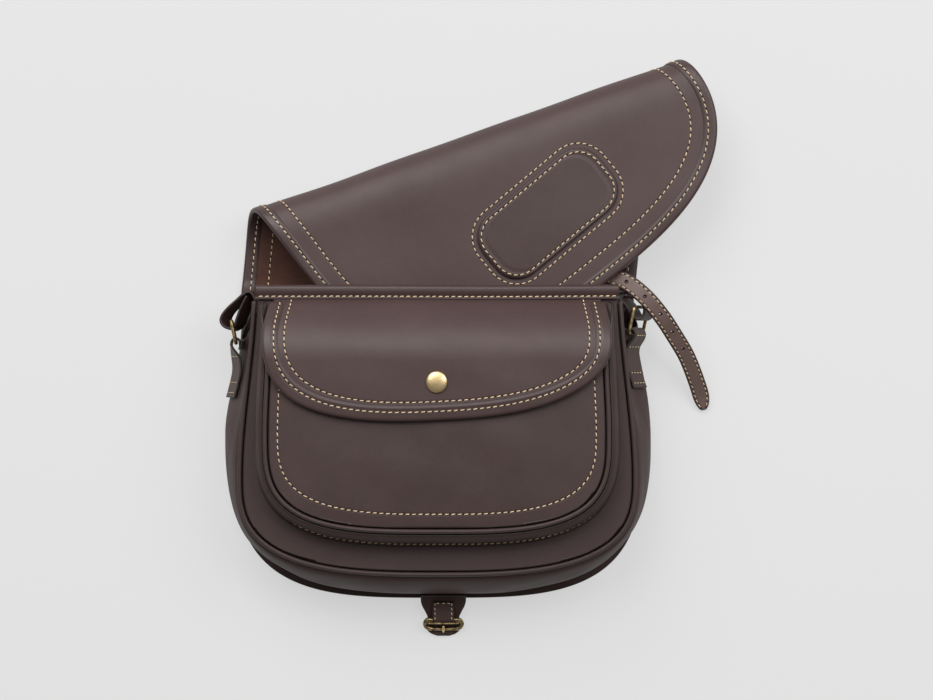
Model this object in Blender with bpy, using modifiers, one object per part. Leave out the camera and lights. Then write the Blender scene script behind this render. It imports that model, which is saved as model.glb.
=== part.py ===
"""A leather hunting game bag, lying on its back with its flap folded askew into the mouth.

X runs across the bag, Y from its bottom to its mouth and Z from the back panel to the front pocket.
The origin is on the resting face of the back panel. Sizes are written in millimetres and become
metres when a mesh is made.
"""

import math
from dataclasses import dataclass, replace

import bmesh
import bpy
import numpy as np
from mathutils import Matrix, Vector

MM = 0.001

# Leather, thread gap and metal sizes that every piece shares.
LEATHER = 2.0
THIN_LEATHER = 1.8
BINDING_LEATHER = 1.2
GAP = 0.3
BINDING_GAP = 0.6
BINDING_LEAF = 7.8
BINDING_SHOULDER = 0.7
BINDING_NOSE = 2.1
WIDEST_Y = 8.0
PIPING_GAP = 0.6

# Levels above the surface that the bag lies on.
BACK_TOP_Z = LEATHER
FRONT_LOW_Z = 58.0
FRONT_TOP_Z = FRONT_LOW_Z + LEATHER
MOUTH_Y = 113.0
FRONT_PIPING = 1.6
FRONT_PIPING_TOP_Y = 103.0

# The strip folded over the front panel's top edge.
FRONT_BINDING_HALF = 130.8
FRONT_BINDING_LOW_Y = 104.6
FRONT_BINDING_FOLD_Y = 112.2
FRONT_BINDING_NOSE = 2.4

# The flap: its fold runs along FOLD_AXIS, and FOLD_RISE lifts the upper layer over the lower one.
FLAP_LOW_Z = BACK_TOP_Z + GAP + LEATHER / 2
FOLD_RISE = 39.4
FOLD_STRIPS = 26
FOLD_EDGE_STEP = 4.0
FLAT_EDGE_STEP = 13.0
FOLD_ANGLE = math.radians(19.3)
FOLD_START = Vector((-119.2, 133.2))
FLAP_ROOT = 12.0
FLAP_REACH = 277.0
FLAP_LEAN = 0.10
FLAP_BOUND_FROM = 1.5

# The blank patch: its middle on the flat flap, its half sizes and how it is turned on the flap.
PATCH_SPOT = (24.3, 326.6)
PATCH_HALF_LONG = 54.7
PATCH_HALF_WIDE = 26.7
PATCH_CORNER = 19.7
PATCH_THICK = 1.5
PATCH_TURN = math.radians(1.2)

# The pocket on the front, its flap and the snap that closes it.
POCKET_Z = 83.2
POCKET_DOME = 2.4
POCKET_PIPING = 1.5
POCKET_PIPING_Z = 84.2
POCKET_FLAP_Z = 88.5
POCKET_FLAP_ROOT_Z = FRONT_TOP_Z + GAP + THIN_LEATHER / 2
POCKET_FLAP_DOME = 1.8
POCKET_FLAP_DOME_Y = 55.0
POCKET_FLAP_DOME_REACH = 60.0
POCKET_FLAP_SLOPE = (104.0, 79.0)
POCKET_FLAP_SKEW = 0.045
POCKET_FLAP_SKEW_REACH = 50.0
SNAP_Y = 45.4
SNAP_HOLE = 2.4

# The straps and their hardware.
STRAP_THICK = 2.0
SHOULDER_WIDTH = 20.0
CLOSING_WIDTH = 12.6
WIRE = 1.25
RING_TALL = 27.0
RING_CORNER = 2.6
LEFT_LEAN = math.radians(10.0)
RIGHT_LEAN = math.radians(27.0)
LEFT_TAB_LEAN = math.radians(23.5)
RIGHT_TAB_LEAN = math.radians(33.0)
SIDE_Z = 32.0
TAB_WIDTH = 20.0
BUCKLE_X = 3.8
BUCKLE_TILT = math.radians(21.8)

LEATHER_BROWN = (0.079, 0.053, 0.049)
EDGE_BROWN = (0.062, 0.042, 0.039)
ANTIQUE_BRASS = (0.52, 0.38, 0.19)

Z_AXIS = Vector((0, 0, 1))


@dataclass(frozen=True)
class Outline:
    """The U-shaped edge of a panel: sides that widen downwards and a superellipse below."""

    half_top: float
    half_wide: float
    top: float
    low: float
    power: float = 3.2
    wide: float = WIDEST_Y
    bias: float = 1.0

    def dense(self, steps=160):
        """Closely spaced points from the top left, round the bottom, to the top right."""
        side = []
        for i in range(steps):
            share = i / steps
            blend = smoothstep(share**self.bias)
            half = self.half_top + (self.half_wide - self.half_top) * blend
            side.append((-half, self.top + (self.wide - self.top) * share))
        for i in range(steps + 1):
            turn = math.pi / 2 * i / steps
            x = -self.half_wide * math.cos(turn) ** (2 / self.power)
            y = self.wide - (self.wide - self.low) * math.sin(turn) ** (2 / self.power)
            side.append((x, y))
        return np.array(side + [(-x, y) for x, y in reversed(side[:-1])])

    def points(self, count, below=None):
        """That many points along the edge, evenly spaced, and only those under a level if given."""
        edge = self.dense()
        if below is not None:
            edge = edge[edge[:, 1] <= below]
        return even_points(edge, count)

    def grown(self, by):
        """The same outline with its sides and bottom moved outwards."""
        return replace(self, half_top=self.half_top + by, half_wide=self.half_wide + by,
                       low=self.low - by)


def even_points(points, count):
    """Resamples a polyline to evenly spaced points."""
    points = np.asarray(points, float)
    along = np.concatenate([[0], np.cumsum(np.linalg.norm(np.diff(points, axis=0), axis=1))])
    stations = np.linspace(0, along[-1], count)
    return np.stack([np.interp(stations, along, axis) for axis in points.T], axis=1)


def smooth_path(points, count):
    """Evenly spaced points on the Catmull-Rom curve through the given points."""
    points = np.asarray(points, float)
    padded = np.vstack([2 * points[0] - points[1], points, 2 * points[-1] - points[-2]])
    dense = []
    for a, b, c, d in zip(padded, padded[1:], padded[2:], padded[3:]):
        for t in np.linspace(0, 1, 16, endpoint=False):
            dense.append(0.5 * (2 * b + (c - a) * t + (2 * a - 5 * b + 4 * c - d) * t**2
                                + (3 * b - a - 3 * c + d) * t**3))
    dense.append(points[-1])
    return even_points(dense, count)


def smoothstep(share):
    """Rises smoothly from 0 to 1 as share does."""
    share = min(max(share, 0.0), 1.0)
    return share * share * (3 - 2 * share)


def clear_scene():
    """Removes whatever the file holds before the bag is made."""
    for item in list(bpy.data.objects):
        bpy.data.objects.remove(item, do_unlink=True)


def collection(name):
    """A new collection in the scene."""
    made = bpy.data.collections.new(name)
    bpy.context.scene.collection.children.link(made)
    return made


def material(name, colour, roughness, metallic=0.0):
    """A Principled material of one colour."""
    made = bpy.data.materials.new(name)
    made.use_nodes = True
    shader = made.node_tree.nodes["Principled BSDF"]
    shader.inputs["Base Color"].default_value = (*colour, 1.0)
    shader.inputs["Roughness"].default_value = roughness
    shader.inputs["Metallic"].default_value = metallic
    return made


def add_object(name, data, finish, place):
    """Links a mesh or curve to its collection as an object with one material."""
    made = bpy.data.objects.new(name, data)
    data.materials.append(finish)
    place.objects.link(made)
    return made


def thicken(sheet_object, thickness):
    """Gives an open sheet its leather, half to each side."""
    solid = sheet_object.modifiers.new("leather", "SOLIDIFY")
    solid.thickness = thickness * MM
    solid.offset = 0.0
    return sheet_object


def sheet(name, grid, thickness, finish, place):
    """A leather sheet whose middle surface runs through a grid of points: grid[row][column]."""
    grid = np.asarray(grid, float)
    rows, columns = grid.shape[:2]
    bm = bmesh.new()
    bmesh.ops.create_grid(bm, x_segments=columns - 1, y_segments=rows - 1, size=0.5)
    for vertex in bm.verts:
        column = round((vertex.co.x + 0.5) * (columns - 1))
        row = round((vertex.co.y + 0.5) * (rows - 1))
        vertex.co = Vector(grid[row, column]) * MM
    mesh = bpy.data.meshes.new(name)
    bm.to_mesh(mesh)
    bm.free()
    mesh.shade_smooth()
    return thicken(add_object(name, mesh, finish, place), thickness)


def plate(name, points, low_z, thickness, finish, place):
    """A flat plate with the given outline, from low_z upwards."""
    curve = bpy.data.curves.new(name, "CURVE")
    curve.dimensions = "2D"
    curve.fill_mode = "BOTH"
    curve.extrude = thickness / 2 * MM
    spline = curve.splines.new("POLY")
    spline.points.add(len(points) - 1)
    for target, (x, y) in zip(spline.points, points):
        target.co = (x * MM, y * MM, 0, 1)
    spline.use_cyclic_u = True
    made = add_object(name, curve, finish, place)
    made.location.z = (low_z + thickness / 2) * MM
    return made


def tube(name, points, radius, finish, place, closed=False):
    """A round cord, wire or rod along the points."""
    curve = bpy.data.curves.new(name, "CURVE")
    curve.dimensions = "3D"
    curve.bevel_depth = radius * MM
    curve.bevel_resolution = 1
    curve.use_fill_caps = True
    spline = curve.splines.new("POLY")
    spline.points.add(len(points) - 1)
    for target, point in zip(spline.points, points):
        target.co = (*(Vector(point) * MM), 1)
    spline.use_cyclic_u = closed
    return add_object(name, curve, finish, place)


def drill(target, cutters, at, radius, depth, sides=10):
    """Cuts a round hole through a sheet; `at` is a matrix whose Z runs along the hole."""
    bm = bmesh.new()
    bmesh.ops.create_cone(bm, cap_ends=True, segments=sides, radius1=radius * MM,
                          radius2=radius * MM, depth=depth * MM)
    mesh = bpy.data.meshes.new(target.name + "_hole")
    bm.to_mesh(mesh)
    bm.free()
    cutter = bpy.data.objects.new(mesh.name, mesh)
    cutters.objects.link(cutter)
    cutter.matrix_world = at
    cutter.hide_render = True
    cutter.display_type = "WIRE"
    cut = target.modifiers.new("hole", "BOOLEAN")
    cut.operation = "DIFFERENCE"
    cut.object = cutter


def coons_grid(outline_points, columns, rows):
    """A grid that fills a U-shaped outline: its four sides are the top and three parts of the U."""
    corner = rows / (2 * rows + columns)
    share = np.linspace(0, 1, len(outline_points))

    def edge(at):
        return np.stack([np.interp(at, share, axis) for axis in outline_points.T], axis=1)

    left = edge(np.linspace(0, corner, rows + 1))
    low = edge(np.linspace(corner, 1 - corner, columns + 1))
    right = edge(np.linspace(1, 1 - corner, rows + 1))
    top = np.linspace(left[0], right[0], columns + 1)
    u = np.linspace(0, 1, columns + 1)[None, :, None]
    v = np.linspace(0, 1, rows + 1)[:, None, None]
    ruled = (1 - v) * top[None] + v * low[None] + (1 - u) * left[:, None] + u * right[:, None]
    corners = ((1 - u) * (1 - v) * top[0] + u * (1 - v) * top[-1]
               + (1 - u) * v * low[0] + u * v * low[-1])
    return ruled - corners


def panel_dome(columns, rows):
    """How far each point of a panel's grid stands proud: 0 at the edge and 1 in the middle."""
    u = np.linspace(0, 1, columns + 1)[None, :]
    v = np.linspace(0, 1, rows + 1)[:, None]
    return (np.sin(math.pi * u) * np.sin(math.pi * v)) ** 0.7


def loft(name, sections, count, thickness, finish, place):
    """A gusset: a sheet through U-shaped sections, given as rows with named columns."""
    grid = []
    for section in sections:
        grid.append([(x, y, section["z"]) for x, y in section_edge(section, count)])
    return sheet(name, grid, thickness, finish, place)


def section_edge(section, count):
    """The U of one gusset section, whose right end may stand higher and further in than its left."""
    edge = Outline(section["half_top"], section["half_wide"], section["top"],
                   section["low"], section["power"], section["widest"]).points(count)
    height = np.clip((edge[:, 1] - WIDEST_Y) / (section["top"] - WIDEST_Y), 0, 1)
    right = height * (edge[:, 0] > 0)
    edge[:, 0] -= section["right_in"] * right
    edge[:, 1] += section["right_rise"] * right
    return edge


def section_table(columns, *rows):
    """Turns a short table into a list of rows with named columns."""
    return [dict(zip(columns, row)) for row in rows]


SECTION_COLUMNS = ("z", "half_top", "half_wide", "low", "top", "power", "right_rise", "widest",
                   "right_in")

# The main gusset from its front seam to the flange that is sewn to the back panel.
MAIN_GUSSET = section_table(
    SECTION_COLUMNS,
    (56.0, 131.1, 143.0, -94.5, 104.0, 2.95, 0.0, -25.0, 0.0),
    (54.6, 132.0, 145.4, -98.3, 101.0, 2.95, 1.0, -22.0, 0.0),
    (48.0, 132.2, 148.4, -102.6, 93.0, 2.95, 4.0, -14.0, 8.0),
    (38.0, 137.0, 151.8, -106.6, 82.0, 3.0, 8.0, -4.0, 9.5),
    (28.0, 141.5, 154.8, -109.6, 76.0, 3.0, 8.0, 4.0, 4.0),
    (18.0, 145.3, 156.3, -111.4, 77.0, 2.95, 8.0, 8.0, -1.0),
    (9.0, 143.4, 153.5, -110.6, 88.0, 3.2, 4.0, 8.0, -2.5),
    (4.8, 140.5, 148.5, -108.5, 98.0, 3.3, 0.0, 8.0, 0.0),
    (3.3, 145.8, 152.8, -117.0, 100.0, 3.45, 0.0, 8.0, 0.0),
)

# The pocket's gusset from its flange on the front panel to the seam at its piping.
POCKET_GUSSET = section_table(
    SECTION_COLUMNS,
    (61.2, 126.8, 131.2, -73.4, 103.0, 3.2, 0.0, 8.0, 0.0),
    (62.0, 124.2, 127.6, -69.6, 103.0, 3.2, 0.0, 8.0, 0.0),
    (67.5, 125.4, 129.3, -69.8, 101.5, 3.2, 0.0, 8.0, 0.0),
    (75.0, 124.8, 128.6, -68.4, 95.0, 3.2, 0.0, 8.0, 0.0),
    (80.6, 123.4, 126.2, -65.8, 84.0, 3.25, 0.0, 8.0, 0.0),
    (82.4, 121.8, 124.0, -63.2, 76.0, 3.3, 0.0, 8.0, 0.0),
)

FRONT_EDGE = Outline(129.6, 140.3, MOUTH_Y, -91.5, 2.9, wide=-25.0)
BACK_EDGE = Outline(146.0, 152.8, MOUTH_Y, -117.0, 3.45)
POCKET_EDGE = Outline(117.4, 119.7, 74.0, -58.5, 3.3)
POCKET_FLAP_EDGE = Outline(117.6, 121.4, 110.6, 20.6, 2.6, wide=POCKET_FLAP_SLOPE[1])
FLAP_EDGE = Outline(144.3, 154.4, FLAP_ROOT, -FLAP_REACH, 2.75, wide=-168.0, bias=2.0)


def make_body(leather, place):
    """The back panel, front panel, main gusset and the piping in the front seam."""
    plate("back_panel", BACK_EDGE.points(44), 0.0, LEATHER, leather, place)
    plate("front_panel", FRONT_EDGE.points(44), FRONT_LOW_Z, LEATHER, leather, place)
    loft("main_gusset", MAIN_GUSSET, 37, THIN_LEATHER, leather, place)
    route = FRONT_EDGE.grown(FRONT_PIPING + PIPING_GAP).points(42, below=FRONT_PIPING_TOP_Y)
    piping = [(x, y, FRONT_LOW_Z + LEATHER / 2) for x, y in route]
    tube("front_piping", piping, FRONT_PIPING, leather, place)


def make_front_binding(leather, place):
    """The strip folded over the front panel's top edge, which also holds the pocket flap."""
    front_z = POCKET_FLAP_ROOT_Z + THIN_LEATHER / 2 + GAP + BINDING_LEATHER / 2
    back_z = FRONT_LOW_Z - GAP - BINDING_LEATHER / 2
    nose_y = FRONT_BINDING_FOLD_Y + FRONT_BINDING_NOSE
    section = [(FRONT_BINDING_LOW_Y, front_z), (FRONT_BINDING_FOLD_Y, front_z),
               (nose_y, (front_z + back_z) / 2), (nose_y - GAP, back_z),
               (FRONT_BINDING_LOW_Y, back_z)]
    columns = np.linspace(-FRONT_BINDING_HALF, FRONT_BINDING_HALF, 9)
    sheet("front_binding", [[(x, y, z) for x in columns] for y, z in section],
          BINDING_LEATHER, leather, place)


def make_pocket(leather, place):
    """The pocket on the front panel: its front, its piping and its gusset."""
    columns, rows = 12, 8
    flat = coons_grid(POCKET_EDGE.points(121), columns, rows)
    rise = POCKET_Z + POCKET_DOME * panel_dome(columns, rows)
    sheet("pocket_front", np.dstack([flat, rise]), THIN_LEATHER, leather, place)
    route = POCKET_EDGE.grown(POCKET_PIPING + PIPING_GAP).points(36)
    piping = [(x, y, POCKET_PIPING_Z) for x, y in route]
    tube("pocket_piping", piping, POCKET_PIPING, leather, place)
    loft("pocket_gusset", POCKET_GUSSET, 31, THIN_LEATHER, leather, place)


def pocket_flap_level(x, y):
    """Height of the pocket flap: it climbs from the binding over the pocket, then lies on it."""
    start, end = POCKET_FLAP_SLOPE
    climb = smoothstep((start - y) / (start - end))
    across = 1 - min(abs(x) / POCKET_FLAP_EDGE.half_wide, 1.0) ** 2
    down = 1 - min(abs(y - POCKET_FLAP_DOME_Y) / POCKET_FLAP_DOME_REACH, 1.0) ** 2
    dome = POCKET_FLAP_DOME * across * down * climb
    return POCKET_FLAP_ROOT_Z + (POCKET_FLAP_Z - POCKET_FLAP_ROOT_Z) * climb + dome


def pocket_flap_point(x, y, lift=0.0):
    """A point on the pocket flap, lifted off its middle surface; the hem rises to the right."""
    fade = smoothstep((POCKET_FLAP_SLOPE[1] - y) / POCKET_FLAP_SKEW_REACH)
    skewed = y + POCKET_FLAP_SKEW * x * fade
    step = 0.5
    level = pocket_flap_level
    slope_x = (level(x + step, skewed) - level(x - step, skewed)) / (2 * step)
    slope_y = (level(x, skewed + step) - level(x, skewed - step)) / (2 * step)
    normal = Vector((-slope_x, -slope_y, 1)).normalized()
    return Vector((x, skewed, level(x, skewed))) + normal * lift


def pocket_flap_rows():
    """The levels at which the pocket flap bends between its root and the top of the pocket."""
    start, end = POCKET_FLAP_SLOPE
    flat = start + 2.0
    return [POCKET_FLAP_EDGE.top, flat, *np.linspace(start, end, 9)]


def inward_directions(points):
    """For each point of an outline that runs from left to right under the panel, the way in."""
    tangents = np.gradient(points, axis=0)
    tangents /= np.linalg.norm(tangents, axis=1)[:, None]
    return np.stack([-tangents[:, 1], tangents[:, 0]], axis=1)


def edge_binding(name, edge, surface, thickness, finish, place):
    """A strip folded over a sheet's edge: two leaves and the round fold between them."""
    lift = thickness / 2 + BINDING_GAP + BINDING_LEATHER / 2
    section = ((BINDING_LEAF, lift), (-BINDING_SHOULDER, lift), (-BINDING_NOSE, 0.0),
               (-BINDING_SHOULDER, -lift), (BINDING_LEAF, -lift))
    inward = inward_directions(edge)
    grid = [[surface(x + nx * depth, y + ny * depth, height)
             for (x, y), (nx, ny) in zip(edge, inward)] for depth, height in section]
    return sheet(name, grid, BINDING_LEATHER, finish, place)


def make_pocket_flap(leather, brass, place, cutters):
    """The pocket's flap, the binding round it and the snap through it."""
    columns, rows = 14, 9
    dense = POCKET_FLAP_EDGE.dense()
    levels = pocket_flap_rows()
    slope = []
    for y in levels[:-1]:
        half = -np.interp(-y, -dense[:160, 1], dense[:160, 0])
        slope.append([(x, y) for x in np.linspace(-half, half, columns + 1)])
    lower = coons_grid(POCKET_FLAP_EDGE.points(121, below=levels[-1]), columns, rows)
    grid = [[pocket_flap_point(x, y) for x, y in line] for line in slope + list(lower)]
    flap = sheet("pocket_flap", grid, THIN_LEATHER, leather, place)
    left = [line[0] for line in slope[4:]]
    right = [line[-1] for line in slope[:3:-1]]
    edge = np.vstack([left, lower[:, 0], lower[-1, 1:-1], lower[::-1, -1], right])
    edge_binding("pocket_flap_binding", edge, pocket_flap_point, THIN_LEATHER, leather, place)
    middle = pocket_flap_point(0.0, SNAP_Y)
    drill(flap, cutters, Matrix.Translation(middle * MM), SNAP_HOLE, 8.0)
    make_snap(middle, brass, place)


SNAP_COLUMNS = ("radius", "side", "off")

# The snap's profile: its radius, the side of the flap (1 outside) and the way off its surface.
SNAP_PROFILE = section_table(
    SNAP_COLUMNS,
    (0.0, 1, 2.9),
    (3.6, 1, 2.6),
    (6.2, 1, 1.7),
    (7.75, 1, 0.8),
    (7.5, 1, 0.4),
    (2.0, 1, 0.4),
    (2.0, -1, 0.4),
    (4.6, -1, 0.4),
    (4.6, -1, 1.9),
    (0.0, -1, 1.9),
)


def make_snap(middle, brass, place):
    """The snap as one turned piece: domed cap, post through the flap and the base below it."""
    bm = bmesh.new()
    verts = []
    for row in SNAP_PROFILE:
        height = row["side"] * (THIN_LEATHER / 2 + row["off"])
        verts.append(bm.verts.new((row["radius"] * MM, 0, height * MM)))
    for first, second in zip(verts, verts[1:]):
        bm.edges.new((first, second))
    mesh = bpy.data.meshes.new("pocket_snap")
    bm.to_mesh(mesh)
    bm.free()
    snap = add_object("pocket_snap", mesh, brass, place)
    snap.location = middle * MM
    screw = snap.modifiers.new("turn", "SCREW")
    screw.steps = 16
    screw.render_steps = 16
    screw.use_merge_vertices = True
    screw.merge_threshold = 0.00002
    return snap


def fold_profile():
    """Stations across the fold: flat distance, run along the fold's normal, rise and turn.

    The leather's bend starts and ends gently: its angle is pi t - sin(2 pi t) / 2 at share t.
    """
    share = np.linspace(0, 1, 40 * FOLD_STRIPS + 1)
    angle = math.pi * share - 0.5 * np.sin(2 * math.pi * share)
    step = share[1]
    run = np.concatenate([[0], np.cumsum((np.cos(angle[1:]) + np.cos(angle[:-1])) / 2 * step)])
    rise = np.concatenate([[0], np.cumsum((np.sin(angle[1:]) + np.sin(angle[:-1])) / 2 * step)])
    length = FOLD_RISE / rise[-1]
    every = slice(None, None, 40)
    return length, share[every] * length, run[every] * length, rise[every] * length, angle[every]


FOLD_LENGTH, FOLD_FLAT, FOLD_RUN, FOLD_HEIGHT, FOLD_TURN = fold_profile()
FOLD_AXIS = Vector((math.cos(FOLD_ANGLE), math.sin(FOLD_ANGLE)))
FOLD_NORMAL = Vector((-math.sin(FOLD_ANGLE), math.cos(FOLD_ANGLE)))


def flap_point(x, y, lift=0.0):
    """Where a point of the flat flap lies once folded, lifted towards the leather's flesh side."""
    offset = Vector((x, y)) - FOLD_START
    along = offset.dot(FOLD_AXIS)
    across = offset.dot(FOLD_NORMAL)
    if across <= 0:
        run, height, turn = across, 0.0, 0.0
    elif across >= FOLD_LENGTH:
        run, height, turn = FOLD_LENGTH - across, FOLD_RISE, math.pi
    else:
        run = np.interp(across, FOLD_FLAT, FOLD_RUN)
        height = np.interp(across, FOLD_FLAT, FOLD_HEIGHT)
        turn = np.interp(across, FOLD_FLAT, FOLD_TURN)
    run -= math.sin(turn) * lift
    height += math.cos(turn) * lift
    spot = FOLD_START + FOLD_AXIS * along + FOLD_NORMAL * run
    return Vector((spot.x, spot.y, FLAP_LOW_Z + height))


def flap_flat_edge():
    """The flap's flat edge, from its root on the left round its tip to its root on the right.

    Points stand closer together where the edge crosses the fold.
    """
    dense = even_points(FLAP_EDGE.dense(), 1600)
    flat = [(-x - FLAP_LEAN * y, MOUTH_Y - y) for x, y in dense[::-1]]
    kept = [flat[0]]
    walked = 0.0
    for previous, point in zip(flat, flat[1:]):
        walked += math.dist(previous, point)
        across = (Vector(point) - FOLD_START).dot(FOLD_NORMAL)
        in_fold = -FOLD_EDGE_STEP < across < FOLD_LENGTH + FOLD_EDGE_STEP
        if walked >= (FOLD_EDGE_STEP if in_fold else FLAT_EDGE_STEP):
            kept.append(point)
            walked = 0.0
    kept[-1] = flat[-1]
    return np.array(kept)


def make_flap(leather, place):
    """The flap as one sheet, cut from its flat outline and bent in narrow strips at the fold."""
    edge = flap_flat_edge()
    bm = bmesh.new()
    bm.faces.new([bm.verts.new((x, y, 0)) for x, y in edge])
    for distance in FOLD_FLAT:
        line = FOLD_START + FOLD_NORMAL * distance
        bmesh.ops.bisect_plane(bm, geom=bm.verts[:] + bm.edges[:] + bm.faces[:], dist=1e-4,
                               plane_co=(*line, 0), plane_no=(*FOLD_NORMAL, 0))
    for vertex in bm.verts:
        vertex.co = flap_point(vertex.co.x, vertex.co.y) * MM
    mesh = bpy.data.meshes.new("flap")
    bm.to_mesh(mesh)
    bm.free()
    thicken(add_object("flap", mesh, leather, place), LEATHER)
    bound = edge[edge[:, 1] > MOUTH_Y + FLAP_BOUND_FROM]
    edge_binding("flap_binding", bound[::-1], flap_point, LEATHER, leather, place)


def rounded_rectangle(half_long, half_wide, radius, steps=5):
    """Points of a rectangle whose corners are arcs."""
    points = []
    for quarter, (sx, sy) in enumerate(((1, 1), (-1, 1), (-1, -1), (1, -1))):
        for i in range(steps + 1):
            angle = math.pi / 2 * (quarter + i / steps)
            points.append((sx * (half_long - radius) + radius * math.cos(angle),
                           sy * (half_wide - radius) + radius * math.sin(angle)))
    return points


def make_badge(leather, place):
    """The blank patch sewn to the flap's outer face."""
    spot = flap_point(*PATCH_SPOT, -(LEATHER / 2 + GAP))
    edge = rounded_rectangle(PATCH_HALF_LONG, PATCH_HALF_WIDE, PATCH_CORNER)
    badge = plate("flap_patch", edge, spot.z, PATCH_THICK, leather, place)
    badge.location.x = spot.x * MM
    badge.location.y = spot.y * MM
    badge.rotation_euler.z = 2 * FOLD_ANGLE + PATCH_TURN


def ribbon(name, path, across, half_widths, thickness, finish, place, columns=2):
    """A strap: a sheet along a path, with the direction of its width and its half width."""
    grid = [[Vector(point) + Vector(side) * half * share for share in np.linspace(-1, 1, columns)]
            for point, side, half in zip(path, across, half_widths)]
    return sheet(name, grid, thickness, finish, place)


CLOSING_COLUMNS = ("x", "y", "z")

# The closing strap's middle line, from where it is sewn under the flap's tip to its free end.
CLOSING_STRAP = section_table(
    CLOSING_COLUMNS,
    (99.5, 131.5, 40.2),
    (108.0, 128.8, 38.8),
    (117.0, 125.8, 38.2),
    (128.5, 121.3, 38.3),
    (138.7, 116.8, 42.6),
    (151.8, 105.6, 46.4),
    (163.6, 91.9, 42.6),
    (174.0, 77.4, 33.4),
    (183.2, 63.4, 23.2),
    (190.6, 47.6, 12.8),
    (195.6, 34.4, 5.4),
    (198.4, 23.2, 1.9),
)
HOLES = 5
HOLE_PITCH = 17.4
FIRST_HOLE = 41.5
HOLE_RADIUS = 1.3
POINT_LENGTH = 15.0


def closing_route(count):
    """The closing strap's middle line as evenly spaced points."""
    return smooth_path([list(row.values()) for row in CLOSING_STRAP], count)


def strap_frames(path):
    """The direction along a lying strap and the level direction across it, at each point."""
    along = np.gradient(path, axis=0)
    along /= np.linalg.norm(along, axis=1)[:, None]
    across = np.cross(along, Z_AXIS)
    across /= np.linalg.norm(across, axis=1)[:, None]
    return along, across


def make_closing_strap(leather, place, cutters):
    """The flap's strap, pointed at its end, with five holes for the buckle's prong."""
    path = closing_route(30)
    along, across = strap_frames(path)
    length = np.linalg.norm(np.diff(path, axis=0), axis=1).sum()
    walked = np.linspace(0, length, len(path))
    share = np.clip((walked - (length - POINT_LENGTH)) / POINT_LENGTH, 0, 1)
    half = CLOSING_WIDTH / 2 * np.sqrt(1 - 0.93 * share**2.2)
    strap = ribbon("closing_strap", path, across, half, STRAP_THICK, leather, place, columns=3)
    for i in range(HOLES):
        at = FIRST_HOLE + i * HOLE_PITCH
        spot = Vector([np.interp(at, walked, axis) for axis in path.T])
        heading = Vector([np.interp(at, walked, axis) for axis in along.T])
        side = Vector([np.interp(at, walked, axis) for axis in across.T])
        turn = Matrix((heading, side, heading.cross(side))).transposed().to_4x4()
        place_at = Matrix.Translation(spot * MM) @ turn
        drill(strap, cutters, place_at, HOLE_RADIUS, 7.0, sides=8)


LOOP_COLUMNS = ("x", "y")

# The shoulder strap round each ring, from its sewn end to where it enters the mouth.
LEFT_LOOP = section_table(
    LOOP_COLUMNS,
    (-136.6, 107.6),
    (-140.0, 103.2),
    (-143.6, 97.6),
    (-146.4, 91.6),
    (-148.9, 85.6),
    (-153.0, 83.6),
    (-157.2, 85.4),
    (-158.8, 89.6),
    (-157.2, 94.2),
    (-152.6, 99.4),
    (-146.4, 104.2),
    (-140.2, 108.6),
    (-134.6, 110.2),
    (-130.6, 104.4),
)

RIGHT_LOOP = section_table(
    LOOP_COLUMNS,
    (136.6, 105.4),
    (140.2, 102.0),
    (143.4, 97.4),
    (146.0, 92.8),
    (149.8, 90.4),
    (153.6, 92.8),
    (154.8, 97.8),
    (153.2, 103.0),
    (148.8, 107.2),
    (142.8, 109.6),
    (136.4, 110.4),
    (131.6, 108.0),
    (129.6, 102.0),
)
STRAP_ROUTE = Outline(126.8, 146.6, 86.0, -101.0, 3.0)
STOWED_LEAN = math.radians(14.0)
LOOP_FROM_Y = 70.0
LOOP_FULL_Y = 90.0


def make_shoulder_strap(leather, place):
    """The shoulder strap: looped through both rings and stowed on edge round the inside.

    It leans as the wall beside it does, with its lower edge further out.
    """
    left = [tuple(row.values()) for row in LEFT_LOOP]
    right = [tuple(row.values()) for row in RIGHT_LOOP]
    inside = [tuple(point) for point in STRAP_ROUTE.points(22)]
    flat = smooth_path(left + inside + right[::-1], 112)
    across = []
    for (x, y), (inward_x, inward_y) in zip(flat, inward_directions(np.array(flat))):
        loop = smoothstep((y - LOOP_FROM_Y) / (LOOP_FULL_Y - LOOP_FROM_Y))
        looped = LEFT_LEAN if x < 0 else RIGHT_LEAN
        lean = STOWED_LEAN + (looped - STOWED_LEAN) * loop
        outward = Vector((-inward_x, -inward_y)).lerp((math.copysign(1, x), 0), loop).normalized()
        across.append((*(outward * math.sin(lean)), -math.cos(lean)))
    path = [(x, y, SIDE_Z) for x, y in flat]
    half = [SHOULDER_WIDTH / 2] * len(path)
    ribbon("shoulder_strap", path, across, half, STRAP_THICK, leather, place)


def ring_points(low_bar, top_bar, lean, side):
    """A ring with rounded corners, seen edge-on from above, through a low and a top bar."""
    low = Vector((*low_bar, SIDE_Z))
    top = Vector((*top_bar, SIDE_Z))
    reach = (top - low).length
    up = (top - low).normalized()
    width = Vector((side * math.sin(lean), 0, -math.cos(lean)))
    middle = (low + top) / 2
    flat = rounded_rectangle(RING_TALL / 2, reach / 2, RING_CORNER, steps=3)
    return [middle + width * a + up * b for a, b in flat]


TAB_COLUMNS = ("along", "off")

# A tab's middle line: along from the ring's low bar down the gusset, and off the gusset's wall.
TAB_LINE = section_table(
    TAB_COLUMNS,
    (40.0, 2.45),
    (30.0, 2.5),
    (20.0, 3.1),
    (11.0, 5.6),
    (4.5, 7.9),
    (0.0, 8.4),
    (-2.4, 7.5),
    (-3.3, 5.2),
    (-2.2, 3.0),
    (0.0, 2.2),
    (5.0, 2.1),
)
BAR_OFF = 5.2
TAB_FREE = 12.0
LEFT_BARS = ((-148.0, 73.1), (-153.0, 89.1))
RIGHT_BARS = ((145.0, 80.3), (149.2, 99.4))


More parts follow.
